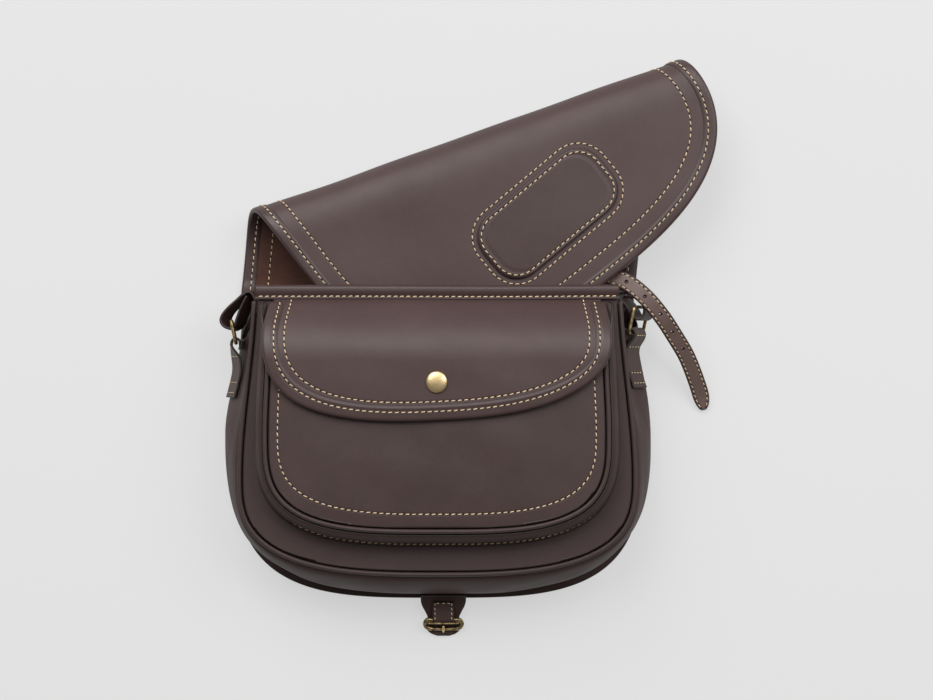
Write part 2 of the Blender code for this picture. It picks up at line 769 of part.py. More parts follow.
def make_side(side, low_bar, top_bar, ring_lean, tab_lean, leather, brass, place):
    """One side's ring and the tab that is sewn to the gusset and folded round its low bar."""
    name = "left" if side < 0 else "right"
    tube(f"ring_{name}", ring_points(low_bar, top_bar, ring_lean, side), WIRE, brass, place, closed=True)
    levels = [row["z"] for row in MAIN_GUSSET]
    edges = np.array([section_edge(row, 400) for row in MAIN_GUSSET])
    below = next(i for i, z in enumerate(levels) if z < SIDE_Z)
    share = (levels[below - 1] - SIDE_Z) / (levels[below - 1] - levels[below])
    wall = edges[below - 1] * (1 - share) + edges[below] * share
    wall = wall[(wall[:, 0] * side > 0) & (wall[:, 1] > WIDEST_Y)]
    wall = wall[np.argsort(wall[:, 1])]
    surface = THIN_LEATHER / 2
    bar_x, bar_y = low_bar
    drift = abs(bar_x) - BAR_OFF - surface - np.interp(bar_y, wall[:, 1], np.abs(wall[:, 0]))
    path = []
    across = []
    for along, off in smooth_path([list(row.values()) for row in TAB_LINE], 30):
        y = bar_y - along
        wall_x = np.interp(y, wall[:, 1], np.abs(wall[:, 0]))
        near = smoothstep(1 - along / TAB_FREE)
        path.append((side * (wall_x + surface + off + drift * near), y, SIDE_Z))
        lean = tab_lean + (ring_lean - tab_lean) * near
        across.append((side * math.sin(lean), 0, -math.cos(lean)))
    half = [TAB_WIDTH / 2] * len(path)
    ribbon(f"ring_tab_{name}", path, across, half, THIN_LEATHER, leather, place)


GUARD_COLUMNS = ("y", "z", "half_width")

# The leather that backs the buckle, from the gusset's bottom wall out to its round end.
GUARD = section_table(
    GUARD_COLUMNS,
    (-113.7, 19.0, 16.7),
    (-113.8, 15.0, 16.8),
    (-114.9, 11.9, 16.8),
    (-118.0, 10.3, 16.9),
    (-122.0, 8.7, 16.0),
    (-126.5, 6.9, 13.8),
    (-131.0, 5.1, 11.9),
    (-135.0, 3.5, 12.6),
    (-138.5, 2.3, 13.2),
    (-141.5, 1.5, 12.0),
    (-144.0, 1.3, 9.0),
    (-145.6, 1.3, 4.6),
)

CHAPE_COLUMNS = ("along", "lift")

# The chape's middle line in the buckle's own plane: top layer, round the heel bar, low layer.
CHAPE = section_table(
    CHAPE_COLUMNS,
    (0.0, 2.1),
    (5.0, 3.4),
    (10.0, 5.4),
    (13.2, 6.6),
    (15.4, 6.1),
    (16.5, 4.3),
    (15.6, 2.7),
    (13.4, 2.0),
    (9.0, 2.2),
)
CHAPE_HALF_WIDE = 7.8
CHAPE_THICK = 1.6
FRAME_RADIUS = 1.2
PRONG_RADIUS = 0.8

BUCKLE_COLUMNS = ("across", "along", "lift")

# The right half of the buckle's frame, from its heel bar to its catch bar.
FRAME_HALF = section_table(
    BUCKLE_COLUMNS,
    (9.6, 14.0, 4.3),
    (12.0, 14.4, 4.3),
    (13.6, 16.2, 4.1),
    (13.8, 18.6, 3.6),
    (12.4, 20.8, 3.2),
    (9.0, 22.2, 3.0),
)
CATCH_ALONG = 22.8
CATCH_LIFT = 2.9

PRONG = section_table(
    BUCKLE_COLUMNS,
    (0.0, 18.2, 6.3),
    (0.0, 20.4, 5.9),
    (0.0, 22.4, 5.5),
    (0.0, 24.4, 4.8),
)
BUCKLE_ORIGIN = Vector((BUCKLE_X, -118.0, 10.3))


def buckle_point(x, along, lift):
    """A point in the buckle's plane, which slopes down from the bag to the surface it lies on."""
    run = Vector((0, -math.cos(BUCKLE_TILT), -math.sin(BUCKLE_TILT)))
    normal = Vector((0, -math.sin(BUCKLE_TILT), math.cos(BUCKLE_TILT)))
    return BUCKLE_ORIGIN + Vector((x, 0, 0)) + run * along + normal * lift


def make_buckle(leather, brass, place):
    """The buckle under the bag: backing leather, chape, frame and prong."""
    rows = [[row["y"], row["z"], row["half_width"]] for row in GUARD]
    level = Vector((1, 0, 0))
    path = [(BUCKLE_X, y, z) for y, z, _ in rows]
    ribbon("buckle_guard", path, [level] * len(path), [half for _, _, half in rows],
           THIN_LEATHER, leather, place, columns=4)
    line = smooth_path([list(row.values()) for row in CHAPE], 16)
    path = [buckle_point(0, along, lift) for along, lift in line]
    half = [CHAPE_HALF_WIDE] * len(path)
    ribbon("buckle_chape", path, [level] * len(path), half, CHAPE_THICK, leather, place)
    right = [tuple(row.values()) for row in FRAME_HALF]
    left = [(-x, along, lift) for x, along, lift in reversed(right)]
    frame = [buckle_point(*point) for point in [*right, (0.0, CATCH_ALONG, CATCH_LIFT), *left]]
    tube("buckle_frame", frame, FRAME_RADIUS, brass, place, closed=True)
    prong = [buckle_point(*row.values()) for row in PRONG]
    tube("buckle_prong", prong, PRONG_RADIUS, brass, place)


def main():
    """Builds the bag in its own collection, with the cutters in another."""
    clear_scene()
    bag = collection("hunting_game_bag")
    cutters = collection("cutters")
    leather = material("brown_leather", LEATHER_BROWN, 0.45)
    trim = material("trim_leather", EDGE_BROWN, 0.42)
    brass = material("antique_brass", ANTIQUE_BRASS, 0.34, 1.0)
    make_body(leather, bag)
    make_pocket(leather, bag)
    make_pocket_flap(leather, brass, bag, cutters)
    make_front_binding(trim, bag)
    make_flap(leather, bag)
    make_badge(leather, bag)
    make_closing_strap(trim, bag, cutters)
    make_shoulder_strap(trim, bag)
    make_side(-1, *LEFT_BARS, LEFT_LEAN, LEFT_TAB_LEAN, trim, brass, bag)
    make_side(1, *RIGHT_BARS, RIGHT_LEAN, RIGHT_TAB_LEAN, trim, brass, bag)
    make_buckle(trim, brass, bag)


main()
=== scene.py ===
"""The looks of a leather hunting game bag that lies on its back, its flap folded open askew.

X runs across the bag, Y from its bottom to its mouth and Z from the back panel to the front pocket.
Shapes are worked out in millimetres and become metres when a mesh is made.
"""

import logging
import math
from collections.abc import Callable, Sequence
from dataclasses import dataclass, field, replace
from enum import Enum

import bpy
import numpy as np
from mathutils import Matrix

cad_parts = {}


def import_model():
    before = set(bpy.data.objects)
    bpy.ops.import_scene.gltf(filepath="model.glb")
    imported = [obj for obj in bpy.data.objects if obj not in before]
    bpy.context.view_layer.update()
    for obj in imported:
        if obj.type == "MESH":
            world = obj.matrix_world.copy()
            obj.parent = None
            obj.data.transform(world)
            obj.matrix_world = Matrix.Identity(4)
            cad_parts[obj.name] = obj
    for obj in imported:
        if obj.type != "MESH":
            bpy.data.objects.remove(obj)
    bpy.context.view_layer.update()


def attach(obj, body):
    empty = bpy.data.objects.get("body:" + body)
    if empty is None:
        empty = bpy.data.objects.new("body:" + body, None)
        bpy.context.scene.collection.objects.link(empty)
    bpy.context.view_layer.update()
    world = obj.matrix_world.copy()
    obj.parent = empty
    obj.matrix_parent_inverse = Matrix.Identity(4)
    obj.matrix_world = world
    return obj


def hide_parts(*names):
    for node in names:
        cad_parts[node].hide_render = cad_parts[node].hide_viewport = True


Array = np.ndarray
Colour = tuple[float, float, float]
Point = tuple[float, float, float]
Flat = tuple[float, float]
Face = Callable[[Array, Array, Array | float], Array]

LOG = logging.getLogger("game_bag")
BODY = "root"

MM = 0.001
FAR = 99.0
CORD_SIDES = 14
UP = np.array([0.0, 0.0, 1.0])

LEATHER = 2.0
THIN_LEATHER = 1.8
WIDEST_Y = 8.0
MOUTH_Y = 113.0


class Side(Enum):
    """The two ends of the bag, as the sign of X."""

    LEFT = -1
    RIGHT = 1


class Slot(Enum):
    """The record's material slots."""

    BODY = "body_leather"
    FLAP = "flap_leather"
    TRIM = "trim_leather"
    STRAP = "strap_leather"
    BRASS = "antique_brass"


class Skin(Enum):
    """Which finish a face of a leather piece takes, as its material number."""

    GRAIN = 0
    BACK = 1
    EDGE = 2


# Arithmetic on whole arrays of points


def unit(vectors: Array) -> Array:
    """Vectors of length one."""
    return vectors / np.maximum(np.linalg.norm(vectors, axis=-1, keepdims=True), 1e-9)


def smoothstep(share: Array) -> Array:
    """Rises smoothly from 0 to 1 as share does: 3 s squared less 2 s cubed."""
    share = np.clip(share, 0.0, 1.0)
    return share * share * (3 - 2 * share)


def travelled(points: Array) -> Array:
    """How far along a polyline each of its points lies."""
    steps = np.linalg.norm(np.diff(points, axis=0), axis=1)
    return np.concatenate([[0.0], np.cumsum(steps)])


def sample(points: Array, along: Array, at: Array) -> Array:
    """Points of a polyline at given distances, read between its own points."""
    return np.stack([np.interp(at, along, axis) for axis in np.asarray(points).T], axis=1)


def even_points(points: Array, count: int) -> Array:
    """Resamples a polyline to evenly spaced points."""
    along = travelled(points)
    return sample(points, along, np.linspace(0.0, along[-1], count))


def spline(points: Array, count: int) -> Array:
    """Evenly spaced points on the Catmull-Rom curve through the given points.

    Args:
        points: The curve's own points, in order.
        count: How many points to return.

    Returns:
        An array of that many points.
    """
    own = np.asarray(points, float)
    padded = np.vstack([2 * own[0] - own[1], own, 2 * own[-1] - own[-2]])
    t = np.linspace(0.0, 1.0, 24, endpoint=False)[:, None]
    a, b, c, d = (padded[i:len(own) - 1 + i, None] for i in range(4))
    dense = 0.5 * (2 * b + (c - a) * t + (2 * a - 5 * b + 4 * c - d) * t**2
                   + (3 * b - a - 3 * c + d) * t**3)
    return even_points(np.vstack([dense.reshape(-1, own.shape[1]), own[-1:]]), count)


def inward(points: Array) -> Array:
    """For an outline that runs from left to right under a panel, the way in at each point."""
    tangents = unit(np.gradient(points, axis=0))
    return np.stack([-tangents[:, 1], tangents[:, 0]], axis=1)


def inset(points: Array, depth: float) -> Array:
    """The same outline moved inwards."""
    return points + inward(points) * depth


def nearest(points: Array, outline: Array) -> Array:
    """Distance from each flat point to the nearest point of an outline, worked out in blocks."""
    flat = points.reshape(-1, 2)
    found = np.empty(len(flat))
    for start in range(0, len(flat), 2000):
        block = flat[start:start + 2000, None] - outline[None]
        found[start:start + 2000] = np.sqrt((block**2).sum(axis=2)).min(axis=1)
    return found.reshape(points.shape[:-1])


@dataclass(frozen=True)
class Outline:
    """The U-shaped edge of a panel: sides that widen downwards and a superellipse below."""

    half_top: float
    half_wide: float
    top: float
    low: float
    power: float = 3.2
    wide: float = WIDEST_Y
    bias: float = 1.0

    def dense(self, steps: int = 400) -> Array:
        """Close points from the top left, round the bottom, to the top right.

        The sides' half width goes from half_top to half_wide by smoothstep; below, x is
        half_wide times cos to the power 2/p and y falls by sin to the power 2/p.
        """
        share = np.linspace(0.0, 1.0, steps, endpoint=False)
        half = self.half_top + (self.half_wide - self.half_top) * smoothstep(share**self.bias)
        side = np.stack([-half, self.top + (self.wide - self.top) * share], axis=1)
        turn = np.linspace(0.0, math.pi / 2, steps + 1)
        bend = 2 / self.power
        below = np.stack([-self.half_wide * np.clip(np.cos(turn), 0, 1) ** bend,
                          self.wide - (self.wide - self.low) * np.sin(turn) ** bend], axis=1)
        left = np.vstack([side, below])
        return np.vstack([left, left[-2::-1] * (-1, 1)])

    def points(self, count: int, below: float | None = None) -> Array:
        """Evenly spaced points along the edge, only those under a level if one is given."""
        edge = self.dense()
        if below is not None:
            edge = edge[edge[:, 1] <= below]
        return even_points(edge, count)

    def grown(self, by: float) -> "Outline":
        """The same outline with its sides and bottom moved outwards."""
        return replace(self, half_top=self.half_top + by, half_wide=self.half_wide + by,
                       low=self.low - by)


def coons_grid(outline: Array, columns: int, rows: int) -> Array:
    """A grid that fills a U-shaped outline.

    Its sides are the top and three parts of the U. Each point is the sum of the two ruled
    surfaces between facing sides, less the bilinear surface through the four corners.
    """
    corner = rows / (2 * rows + columns)
    share = travelled(outline) / travelled(outline)[-1]
    left = sample(outline, share, np.linspace(0.0, corner, rows + 1))
    low = sample(outline, share, np.linspace(corner, 1 - corner, columns + 1))
    right = sample(outline, share, np.linspace(1.0, 1 - corner, rows + 1))
    top = np.linspace(left[0], right[0], columns + 1)
    u = np.linspace(0.0, 1.0, columns + 1)[None, :, None]
    v = np.linspace(0.0, 1.0, rows + 1)[:, None, None]
    ruled = (1 - v) * top[None] + v * low[None] + (1 - u) * left[:, None] + u * right[:, None]
    corners = ((1 - u) * (1 - v) * top[0] + u * (1 - v) * top[-1]
               + (1 - u) * v * low[0] + u * v * low[-1])
    return ruled - corners


def rounded_rectangle(half_long: float, half_wide: float, radius: float, steps: int = 8) -> Array:
    """Points of a rectangle whose corners are arcs."""
    quarter = np.arange(4)[:, None]
    angle = math.pi / 2 * (quarter + np.linspace(0.0, 1.0, steps + 1)[None])
    sign_x = np.array([1, -1, -1, 1])[:, None]
    sign_y = np.array([1, 1, -1, -1])[:, None]
    x = sign_x * (half_long - radius) + radius * np.cos(angle)
    y = sign_y * (half_wide - radius) + radius * np.sin(angle)
    return np.stack([x.ravel(), y.ravel()], axis=1)


@dataclass(frozen=True)
class Ripple:
    """Gentle unevenness of leather: a sum of plane waves with seeded directions and phases."""

    seed: int
    height: float
    length: float
    waves: int = 7

    def at(self, x: Array, y: Array) -> Array:
        """Height at each point, in the units of height."""
        chance = np.random.default_rng(self.seed)
        heading = chance.uniform(0, 2 * math.pi, self.waves)
        phase = chance.uniform(0, 2 * math.pi, self.waves)
        rate = 2 * math.pi / (self.length * chance.uniform(0.6, 1.7, self.waves))
        total = np.zeros(np.broadcast(x, y).shape)
        for turn, shift, pace in zip(heading, phase, rate):
            total = total + np.sin((x * math.cos(turn) + y * math.sin(turn)) * pace + shift)
        return self.height * total / math.sqrt(self.waves)


# Closed surfaces and the objects made from them


@dataclass
class Shell:
    """One closed surface: its points, faces, material numbers and point attributes."""

    points: Array
    faces: list[Array]
    skins: list[Array]
    marks: dict[str, Array] = field(default_factory=dict)

    def volume(self) -> float:
        """Six times the signed volume inside the faces."""
        total = 0.0
        for face in self.faces:
            corners = self.points[face]
            for i in range(1, face.shape[1] - 1):
                crossed = np.cross(corners[:, i], corners[:, i + 1])
                total += float((corners[:, 0] * crossed).sum())
        return total

    def outward(self) -> "Shell":
        """The same surface with every face pointing out."""
        if self.volume() < 0:
            self.faces = [face[:, ::-1] for face in self.faces]
        return self


def grid_faces(rows: int, columns: int, wrap: bool = False) -> Array:
    """Quads of a grid of points, joined round from its last column to its first if asked."""
    index = np.arange(rows * columns).reshape(rows, columns)
    if wrap:
        index = np.hstack([index, index[:, :1]])
    corners = (index[:-1, :-1], index[:-1, 1:], index[1:, 1:], index[1:, :-1])
    return np.stack([corner.ravel() for corner in corners], axis=1)


def border_ring(rows: int, columns: int) -> Array:
    """Indices of a grid's border points, once round from its first corner."""
    index = np.arange(rows * columns).reshape(rows, columns)
    return np.concatenate([index[0, :-1], index[:-1, -1], index[-1, :0:-1], index[:0:-1, 0]])


def leaf(top: Array, low: Array, marks: dict[str, Array] | None = None,
         skins: Sequence[Skin] = (Skin.GRAIN, Skin.BACK, Skin.EDGE), rim_steps: int = 5) -> Shell:
    """A closed sheet between two grids, its border rounded by a half circle.

    Args:
        top: The outer face's points, grid[row, column].
        low: The inner face's points, in the same order.
        marks: Point attributes of the grid, by name.
        skins: The finishes of the outer face, the inner face and the border.
        rim_steps: How many faces the half circle has.

    Returns:
        The closed shell.
    """
    rows, columns = top.shape[:2]
    ring = border_ring(rows, columns)
    upper = top.reshape(-1, 3).copy()
    lower = low.reshape(-1, 3).copy()
    middle = (upper[ring] + lower[ring]) / 2
    half = (upper[ring] - lower[ring]) / 2
    radius = np.linalg.norm(half, axis=1, keepdims=True)
    tangent = unit(np.roll(middle, -1, axis=0) - np.roll(middle, 1, axis=0))
    outward = unit(np.cross(tangent, half))
    probe = columns // 2
    inside = (top[1, probe] + low[1, probe]) / 2
    outward *= math.copysign(1.0, float(outward[probe] @ (middle[probe] - inside)))
    upper[ring] -= outward * radius
    lower[ring] -= outward * radius
    angles = np.linspace(math.pi / 2, -math.pi / 2, rim_steps + 1)[1:-1]
    rim = [middle + outward * radius * (math.cos(angle) - 1) + half * math.sin(angle)
           for angle in angles]
    points = np.vstack([upper, lower, *rim])
    count = rows * columns
    own = np.arange(len(ring))
    rings = [ring, *(2 * count + i * len(ring) + own for i in range(len(rim))), count + ring]
    quads = grid_faces(rows, columns)
    border = [np.stack([a, b, np.roll(b, -1), np.roll(a, -1)], axis=1)
              for a, b in zip(rings, rings[1:])]
    faces = [quads, quads[:, ::-1] + count, np.vstack(border)]
    numbers = [np.full(len(face), skin.value) for face, skin in zip(faces, skins)]
    spread = {}
    for name, values in (marks or {}).items():
        flat = np.asarray(values, float).ravel()
        spread[name] = np.concatenate([flat, flat, np.tile(flat[ring], len(rim))])
    return Shell(points, faces, numbers, spread).outward()


def wrapped(grid: Array, loop: bool = False, skin: int = 0,
            marks: dict[str, Array] | None = None) -> Shell:
    """A closed surface round a path: grid[station, turn], its ends closed by fans of triangles.

    Args:
        grid: Points; each row goes once round the piece.
        loop: Whether the last station joins the first, as in a ring.
        skin: The material number of every face.
        marks: Point attributes of the grid, by name.

    Returns:
        The closed shell.
    """
    rows, columns = grid.shape[:2]
    points = grid.reshape(-1, 3)
    spread = {name: np.asarray(values, float).ravel() for name, values in (marks or {}).items()}
    if loop:
        index = np.vstack([np.arange(rows * columns), np.roll(np.arange(rows * columns), -columns)])
        here, ahead = index.reshape(2, rows, columns)
        beside, across = np.roll(here, -1, axis=1), np.roll(ahead, -1, axis=1)
        quads = np.stack([here, beside, across, ahead], axis=-1).reshape(-1, 4)
        return Shell(points, [quads], [np.full(len(quads), skin)], spread).outward()
    quads = grid_faces(rows, columns, wrap=True)
    middles = np.stack([grid[0].mean(axis=0), grid[-1].mean(axis=0)])
    turn = np.arange(columns)
    ahead = np.roll(turn, -1)
    base = rows * columns
    first = np.stack([ahead, turn, np.full(columns, base)], axis=1)
    last = np.stack([turn, ahead, np.full(columns, base + 1)], axis=1)
    last[:, :2] += base - columns
    fans = np.vstack([first, last])
    for name, values in spread.items():
        rings = values.reshape(rows, columns)
        spread[name] = np.append(values, [rings[0].mean(), rings[-1].mean()])
    numbers = [np.full(len(quads), skin), np.full(len(fans), skin)]
    return Shell(np.vstack([points, middles]), [quads, fans], numbers, spread).outward()


def cross_frames(path: Array, up: Array, loop: bool = False) -> tuple[Array, Array, Array]:
    """The directions along, across and off a path, the last as near as can be to up."""
    if loop:
        ahead = np.roll(path, -1, axis=0) - np.roll(path, 1, axis=0)
    else:
        ahead = np.gradient(path, axis=0)
    along = unit(ahead)
    across = unit(np.cross(along, up))
    return along, across, np.cross(across, along)


def tube(path: Array, radius: Array | float, sides: int, up: Array = UP,
         loop: bool = False) -> Shell:
    """A round rod along a path: circles of the given radius square to it."""
    _, across, off = cross_frames(path, up, loop)
    angle = np.linspace(0, 2 * math.pi, sides, endpoint=False)[None, :, None]
    reach = np.broadcast_to(np.asarray(radius, float), (len(path),))[:, None, None]
    around = np.cos(angle) * across[:, None] + np.sin(angle) * off[:, None]
    return wrapped(path[:, None] + reach * around, loop)


def turned(profile: Array, centre: Array, axis: Array, sides: int, skin: int = 0) -> Shell:
    """A shape turned about an axis: its profile's columns are radius and height along the axis."""
    lead = unit(np.cross(axis, (0.3, 0.9, 0.2)))
    other = np.cross(axis, lead)
    angle = np.linspace(0, 2 * math.pi, sides, endpoint=False)[None, :, None]
    around = np.cos(angle) * lead + np.sin(angle) * other
    grid = centre + profile[:, 1, None, None] * axis + profile[:, 0, None, None] * around
    return wrapped(grid, skin=skin)


def make_object(name: str, shells: Sequence[Shell], materials: Sequence[bpy.types.Material],
                ) -> bpy.types.Object:
    """One mesh object at the origin from closed shells in millimetres.

    Args:
        name: The object's name.
        shells: The surfaces, whose material numbers index the materials.
        materials: The object's materials, in order.

    Returns:
        The object, linked to the scene and shaded smooth.
    """
    starts = np.concatenate([[0], np.cumsum([len(shell.points) for shell in shells])])
    points = np.vstack([shell.points for shell in shells]) * MM
    faces = [face + start for shell, start in zip(shells, starts) for face in shell.faces]
    skins = np.concatenate([skin for shell in shells for skin in shell.skins])
    sizes = np.concatenate([np.full(len(face), face.shape[1]) for face in faces])
    corners = np.concatenate([face.ravel() for face in faces])
    mesh = bpy.data.meshes.new(name)
    mesh.vertices.add(len(points))
    mesh.vertices.foreach_set("co", points.ravel())
    mesh.loops.add(len(corners))
    mesh.loops.foreach_set("vertex_index", corners.astype(np.int32))
    mesh.polygons.add(len(sizes))
    first = np.concatenate([[0], np.cumsum(sizes)[:-1]])
    mesh.polygons.foreach_set("loop_start", first.astype(np.int32))
    mesh.polygons.foreach_set("material_index", skins.astype(np.int32))
    mesh.update(calc_edges=True)
    for mark in sorted({mark for shell in shells for mark in shell.marks}):
        values = [shell.marks.get(mark, np.full(len(shell.points), FAR)) for shell in shells]
        layer = mesh.attributes.new(mark, "FLOAT", "POINT")
        layer.data.foreach_set("value", np.concatenate(values).astype(np.float32))
    for material in materials:
        mesh.materials.append(material)
    mesh.shade_smooth()
    made = bpy.data.objects.new(name, mesh)
    bpy.context.scene.collection.objects.link(made)
    return made


def place(made: bpy.types.Object, slot: Slot | None, *nodes: str) -> None:
    """Lets a piece ride on the bag, hides the CAD nodes that it stands for and logs its triangles.
    """
    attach(made, BODY)
    if nodes:
        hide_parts(*nodes)
    triangles = sum(len(face.vertices) - 2 for face in made.data.polygons)
    LOG.info("%s: %d triangles", made.name, triangles)


def seam_marks(edge: Array, seam: float | None = None) -> dict[str, Array]:
    """Attributes of a leather face: the way to its edge and past a stitch line, if it has one; the
    leather paints shade near both.
    """
    far = np.full_like(edge, FAR)
    return {"edge": edge, "seam_a": far if seam is None else edge - seam, "seam_b": far}


# Shader arithmetic


class Value:
    """A shader socket that takes part in Python arithmetic by adding Math nodes."""

    def __init__(self, tree: "Tree", socket: bpy.types.NodeSocket) -> None:
        """Keeps the node tree and the output socket."""
        self.tree = tree
        self.socket = socket

    def __add__(self, other: "Value | float") -> "Value":
        """This plus the other."""
        return self.tree.math("ADD", self, other)

    def __sub__(self, other: "Value | float") -> "Value":
        """This less the other."""
        return self.tree.math("SUBTRACT", self, other)

    def __rsub__(self, other: float) -> "Value":
        """A number less this."""
        return self.tree.math("SUBTRACT", other, self)

    def __mul__(self, other: "Value | float") -> "Value":
        """This times the other."""
        return self.tree.math("MULTIPLY", self, other)

    def __truediv__(self, other: "Value | float") -> "Value":
        """This divided by the other."""
        return self.tree.math("DIVIDE", self, other)

    __radd__ = __add__
    __rmul__ = __mul__

    def clamped(self) -> "Value":
        """This, kept between 0 and 1."""
        return self.tree.math("ADD", self, 0.0, clamp=True)


class Tree:
    """A material's node tree, filled by one method for any node."""

    def __init__(self, name: str) -> None:
        """Makes an empty material with its output and Principled shader."""
        self.material = bpy.data.materials.new(name)
        self.material.use_nodes = True
        self.nodes = self.material.node_tree.nodes
        self.nodes.clear()
        output = self.nodes.new("ShaderNodeOutputMaterial")
        self.shader = self.nodes.new("ShaderNodeBsdfPrincipled")
        self.link(self.shader.outputs["BSDF"], output.inputs["Surface"])

    def link(self, start: bpy.types.NodeSocket, end: bpy.types.NodeSocket) -> None:
        """Joins two sockets."""
        self.material.node_tree.links.new(start, end)

    def feed(self, socket: bpy.types.NodeSocket, value: object) -> None:
        """Sets a socket to a number or colour, or links a value to it."""
        if isinstance(value, Value):
            self.link(value.socket, socket)
        else:
            socket.default_value = value

    def node(self, kind: str, settings: dict[str, object], inputs: dict[str | int, object],
             output: str | int = 0) -> Value:
        """Adds any node.

        Args:
            kind: The node's type.
            settings: Its own settings, set first.
            inputs: Values or links of its sockets, by name or number.
            output: The socket that is returned.

        Returns:
            The chosen output as a value.
        """
        made = self.nodes.new(kind)
        for name, value in settings.items():
            setattr(made, name, value)
        for name, value in inputs.items():
            self.feed(made.inputs[name], value)
        return Value(self, made.outputs[output])

    def math(self, operation: str, *terms: "Value | float", clamp: bool = False) -> Value:
        """A Math node on values and numbers."""
        return self.node("ShaderNodeMath", {"operation": operation, "use_clamp": clamp},
                         dict(enumerate(terms)))

    def mixed(self, share: Value, first: "Value | Colour", second: "Value | Colour") -> Value:
        """A colour between two others."""
        ends = [(*end, 1.0) if isinstance(end, tuple) else end for end in (first, second)]
        sockets = {0: share, 6: ends[0], 7: ends[1]}
        return self.node("ShaderNodeMix", {"data_type": "RGBA"}, sockets, 2)

    def place(self) -> Value:
        """The point's place in the object's own space, in metres."""
        return self.node("ShaderNodeTexCoord", {}, {}, "Object")

    def stretched(self, spot: Value, scale: Colour) -> Value:
        """A place scaled along each axis."""
        return self.node("ShaderNodeMapping", {}, {"Vector": spot, "Scale": scale})

    def noise(self, spot: Value, size: float, detail: float = 3.0, rough: float = 0.55) -> Value:
        """Noise about 0.5 whose blots are as wide as size, in millimetres."""
        sockets = {"Vector": spot, "Scale": 1 / (size * MM), "Detail": detail, "Roughness": rough}
        return self.node("ShaderNodeTexNoise", {}, sockets)

    def cells(self, spot: Value, size: float) -> Value:
        """Distance within cells as wide as size, in millimetres."""
        sockets = {"Vector": spot, "Scale": 1 / (size * MM)}
        return self.node("ShaderNodeTexVoronoi", {"feature": "F1"}, sockets)

    def mark(self, name: str) -> Value:
        """A point attribute of the mesh."""
        return self.node("ShaderNodeAttribute", {"attribute_name": name}, {}, "Fac")

    def ridge(self, offset: Value, width: float, softness: float = 0.2) -> Value:
        """A soft ridge, 1 where the offset is 0 and gone past the width."""
        away = self.math("ABSOLUTE", offset) / width
        return self.math("SMOOTH_MIN", 1.0, self.math("MAXIMUM", 1.0 - away, 0.0), softness)

    def bump(self, height: Value) -> Value:
        """A normal from a height in millimetres."""
        sockets = {"Strength": 1.0, "Distance": MM, "Height": height}
        return self.node("ShaderNodeBump", {}, sockets)

    def finish(self, colour: "Value | Colour", roughness: "Value | float", metallic: float = 0.0,
               normal: Value | None = None, **fixed: object) -> bpy.types.Material:
        """Feeds the Principled shader.

        Args:
            colour: Base colour.
            roughness: Roughness.
            metallic: Metallic.
            normal: A normal, or none for the mesh's own.
            **fixed: Other sockets by name, with underscores for spaces, as plain numbers.

        Returns:
            The finished material.
        """
        shade = (*colour, 1.0) if isinstance(colour, tuple) else colour
        self.feed(self.shader.inputs["Base Color"], shade)
        self.feed(self.shader.inputs["Roughness"], roughness)
        self.feed(self.shader.inputs["Metallic"], metallic)
        if normal is not None:
            self.feed(self.shader.inputs["Normal"], normal)
        for name, value in fixed.items():
            self.feed(self.shader.inputs[name.replace("_", " ")], value)
        return self.material


# Finishes


def dimmed(colour: Colour, share: float) -> Colour:
    """A colour at a share of its strength."""
    return tuple(share * part for part in colour)


@dataclass(frozen=True)
class SmoothLeather:
    """Satin full-grain leather: fine pores, soft mottling, painted shade at edges and seams, and
    sunken stitch lines.

    Sizes, reaches and heights are in millimetres. The colour is a mix of broad and small clouds,
    darkened near each edge (partly a burnished edge, partly painted shade of the groove or step
    beside it) and along each stitch line (painted shade in its groove); the bump is pores and
    creases times the grain, less a groove at each seam.
    """

    name: str
    colour: Colour
    deep: Colour
    roughness: float = 0.5
    grain: float = 1.0
    groove: float = 0.22
    specular: float = 0.5
    # edge_shade and edge_dark darken the colour near edges: partly burnish, partly painted shade of
    # the groove or step beside the edge.
    edge_shade: float = 0.3
    edge_dark: float = 0.25
    edge_reach: float = 1.6
    edge_rough: float = 0.12
    # seam_shade and seam_dark paint shade into the stitch grooves.
    seam_shade: float = 0.3
    seam_dark: float = 0.6
    seam_reach: float = 1.5
    cloud_sizes: Flat = (60.0, 9.0)
    cloud_shares: Flat = (0.55, 0.45)
    cloud_floor: float = 0.28
    contrast: float = 2.0
    pore_sizes: Flat = (0.62, 0.9)
    pore_heights: Flat = (0.035, 0.03)
    crease_size: float = 5.0
    crease_height: float = 0.05
    shine_size: float = 22.0
    shine_range: float = 0.14

    def make(self) -> bpy.types.Material:
        """Builds the material."""
        tree = Tree(self.name)
        spot = tree.place()
        broad = tree.noise(spot, self.cloud_sizes[0], 4.0) * self.cloud_shares[0]
        small = tree.noise(spot, self.cloud_sizes[1], 5.0, 0.6) * self.cloud_shares[1]
        mottle = (broad + small - self.cloud_floor) * self.contrast
        colour = tree.mixed(mottle.clamped(), self.deep, self.colour)
        near_edge = (1.0 - tree.mark("edge") / self.edge_reach).clamped()
        # Darker near the edge: partly burnish, partly painted shade of the groove or step beside
        # it.
        colour = tree.mixed(near_edge * self.edge_shade, colour, dimmed(self.deep, self.edge_dark))
        # The seam ridges sink a groove in the bump and paint shade into that groove in the colour.
        seams = (tree.ridge(tree.mark("seam_a"), self.seam_reach)
                 + tree.ridge(tree.mark("seam_b"), self.seam_reach))
        colour = tree.mixed(seams.clamped() * self.seam_shade, colour,
                            dimmed(self.deep, self.seam_dark))
        pores = (tree.cells(spot, self.pore_sizes[0]) * self.pore_heights[0]
                 + tree.noise(spot, self.pore_sizes[1], 2.0) * self.pore_heights[1])
        creases = tree.noise(spot, self.crease_size, 5.0, 0.6) * self.crease_height
        height = (pores + creases) * self.grain - seams * self.groove
        sheen = tree.noise(spot, self.shine_size, 4.0) * self.shine_range
        rough = sheen + (self.roughness - self.shine_range / 2)
        return tree.finish(colour, rough + near_edge * self.edge_rough, 0.0, tree.bump(height),
                           Specular_IOR_Level=self.specular)


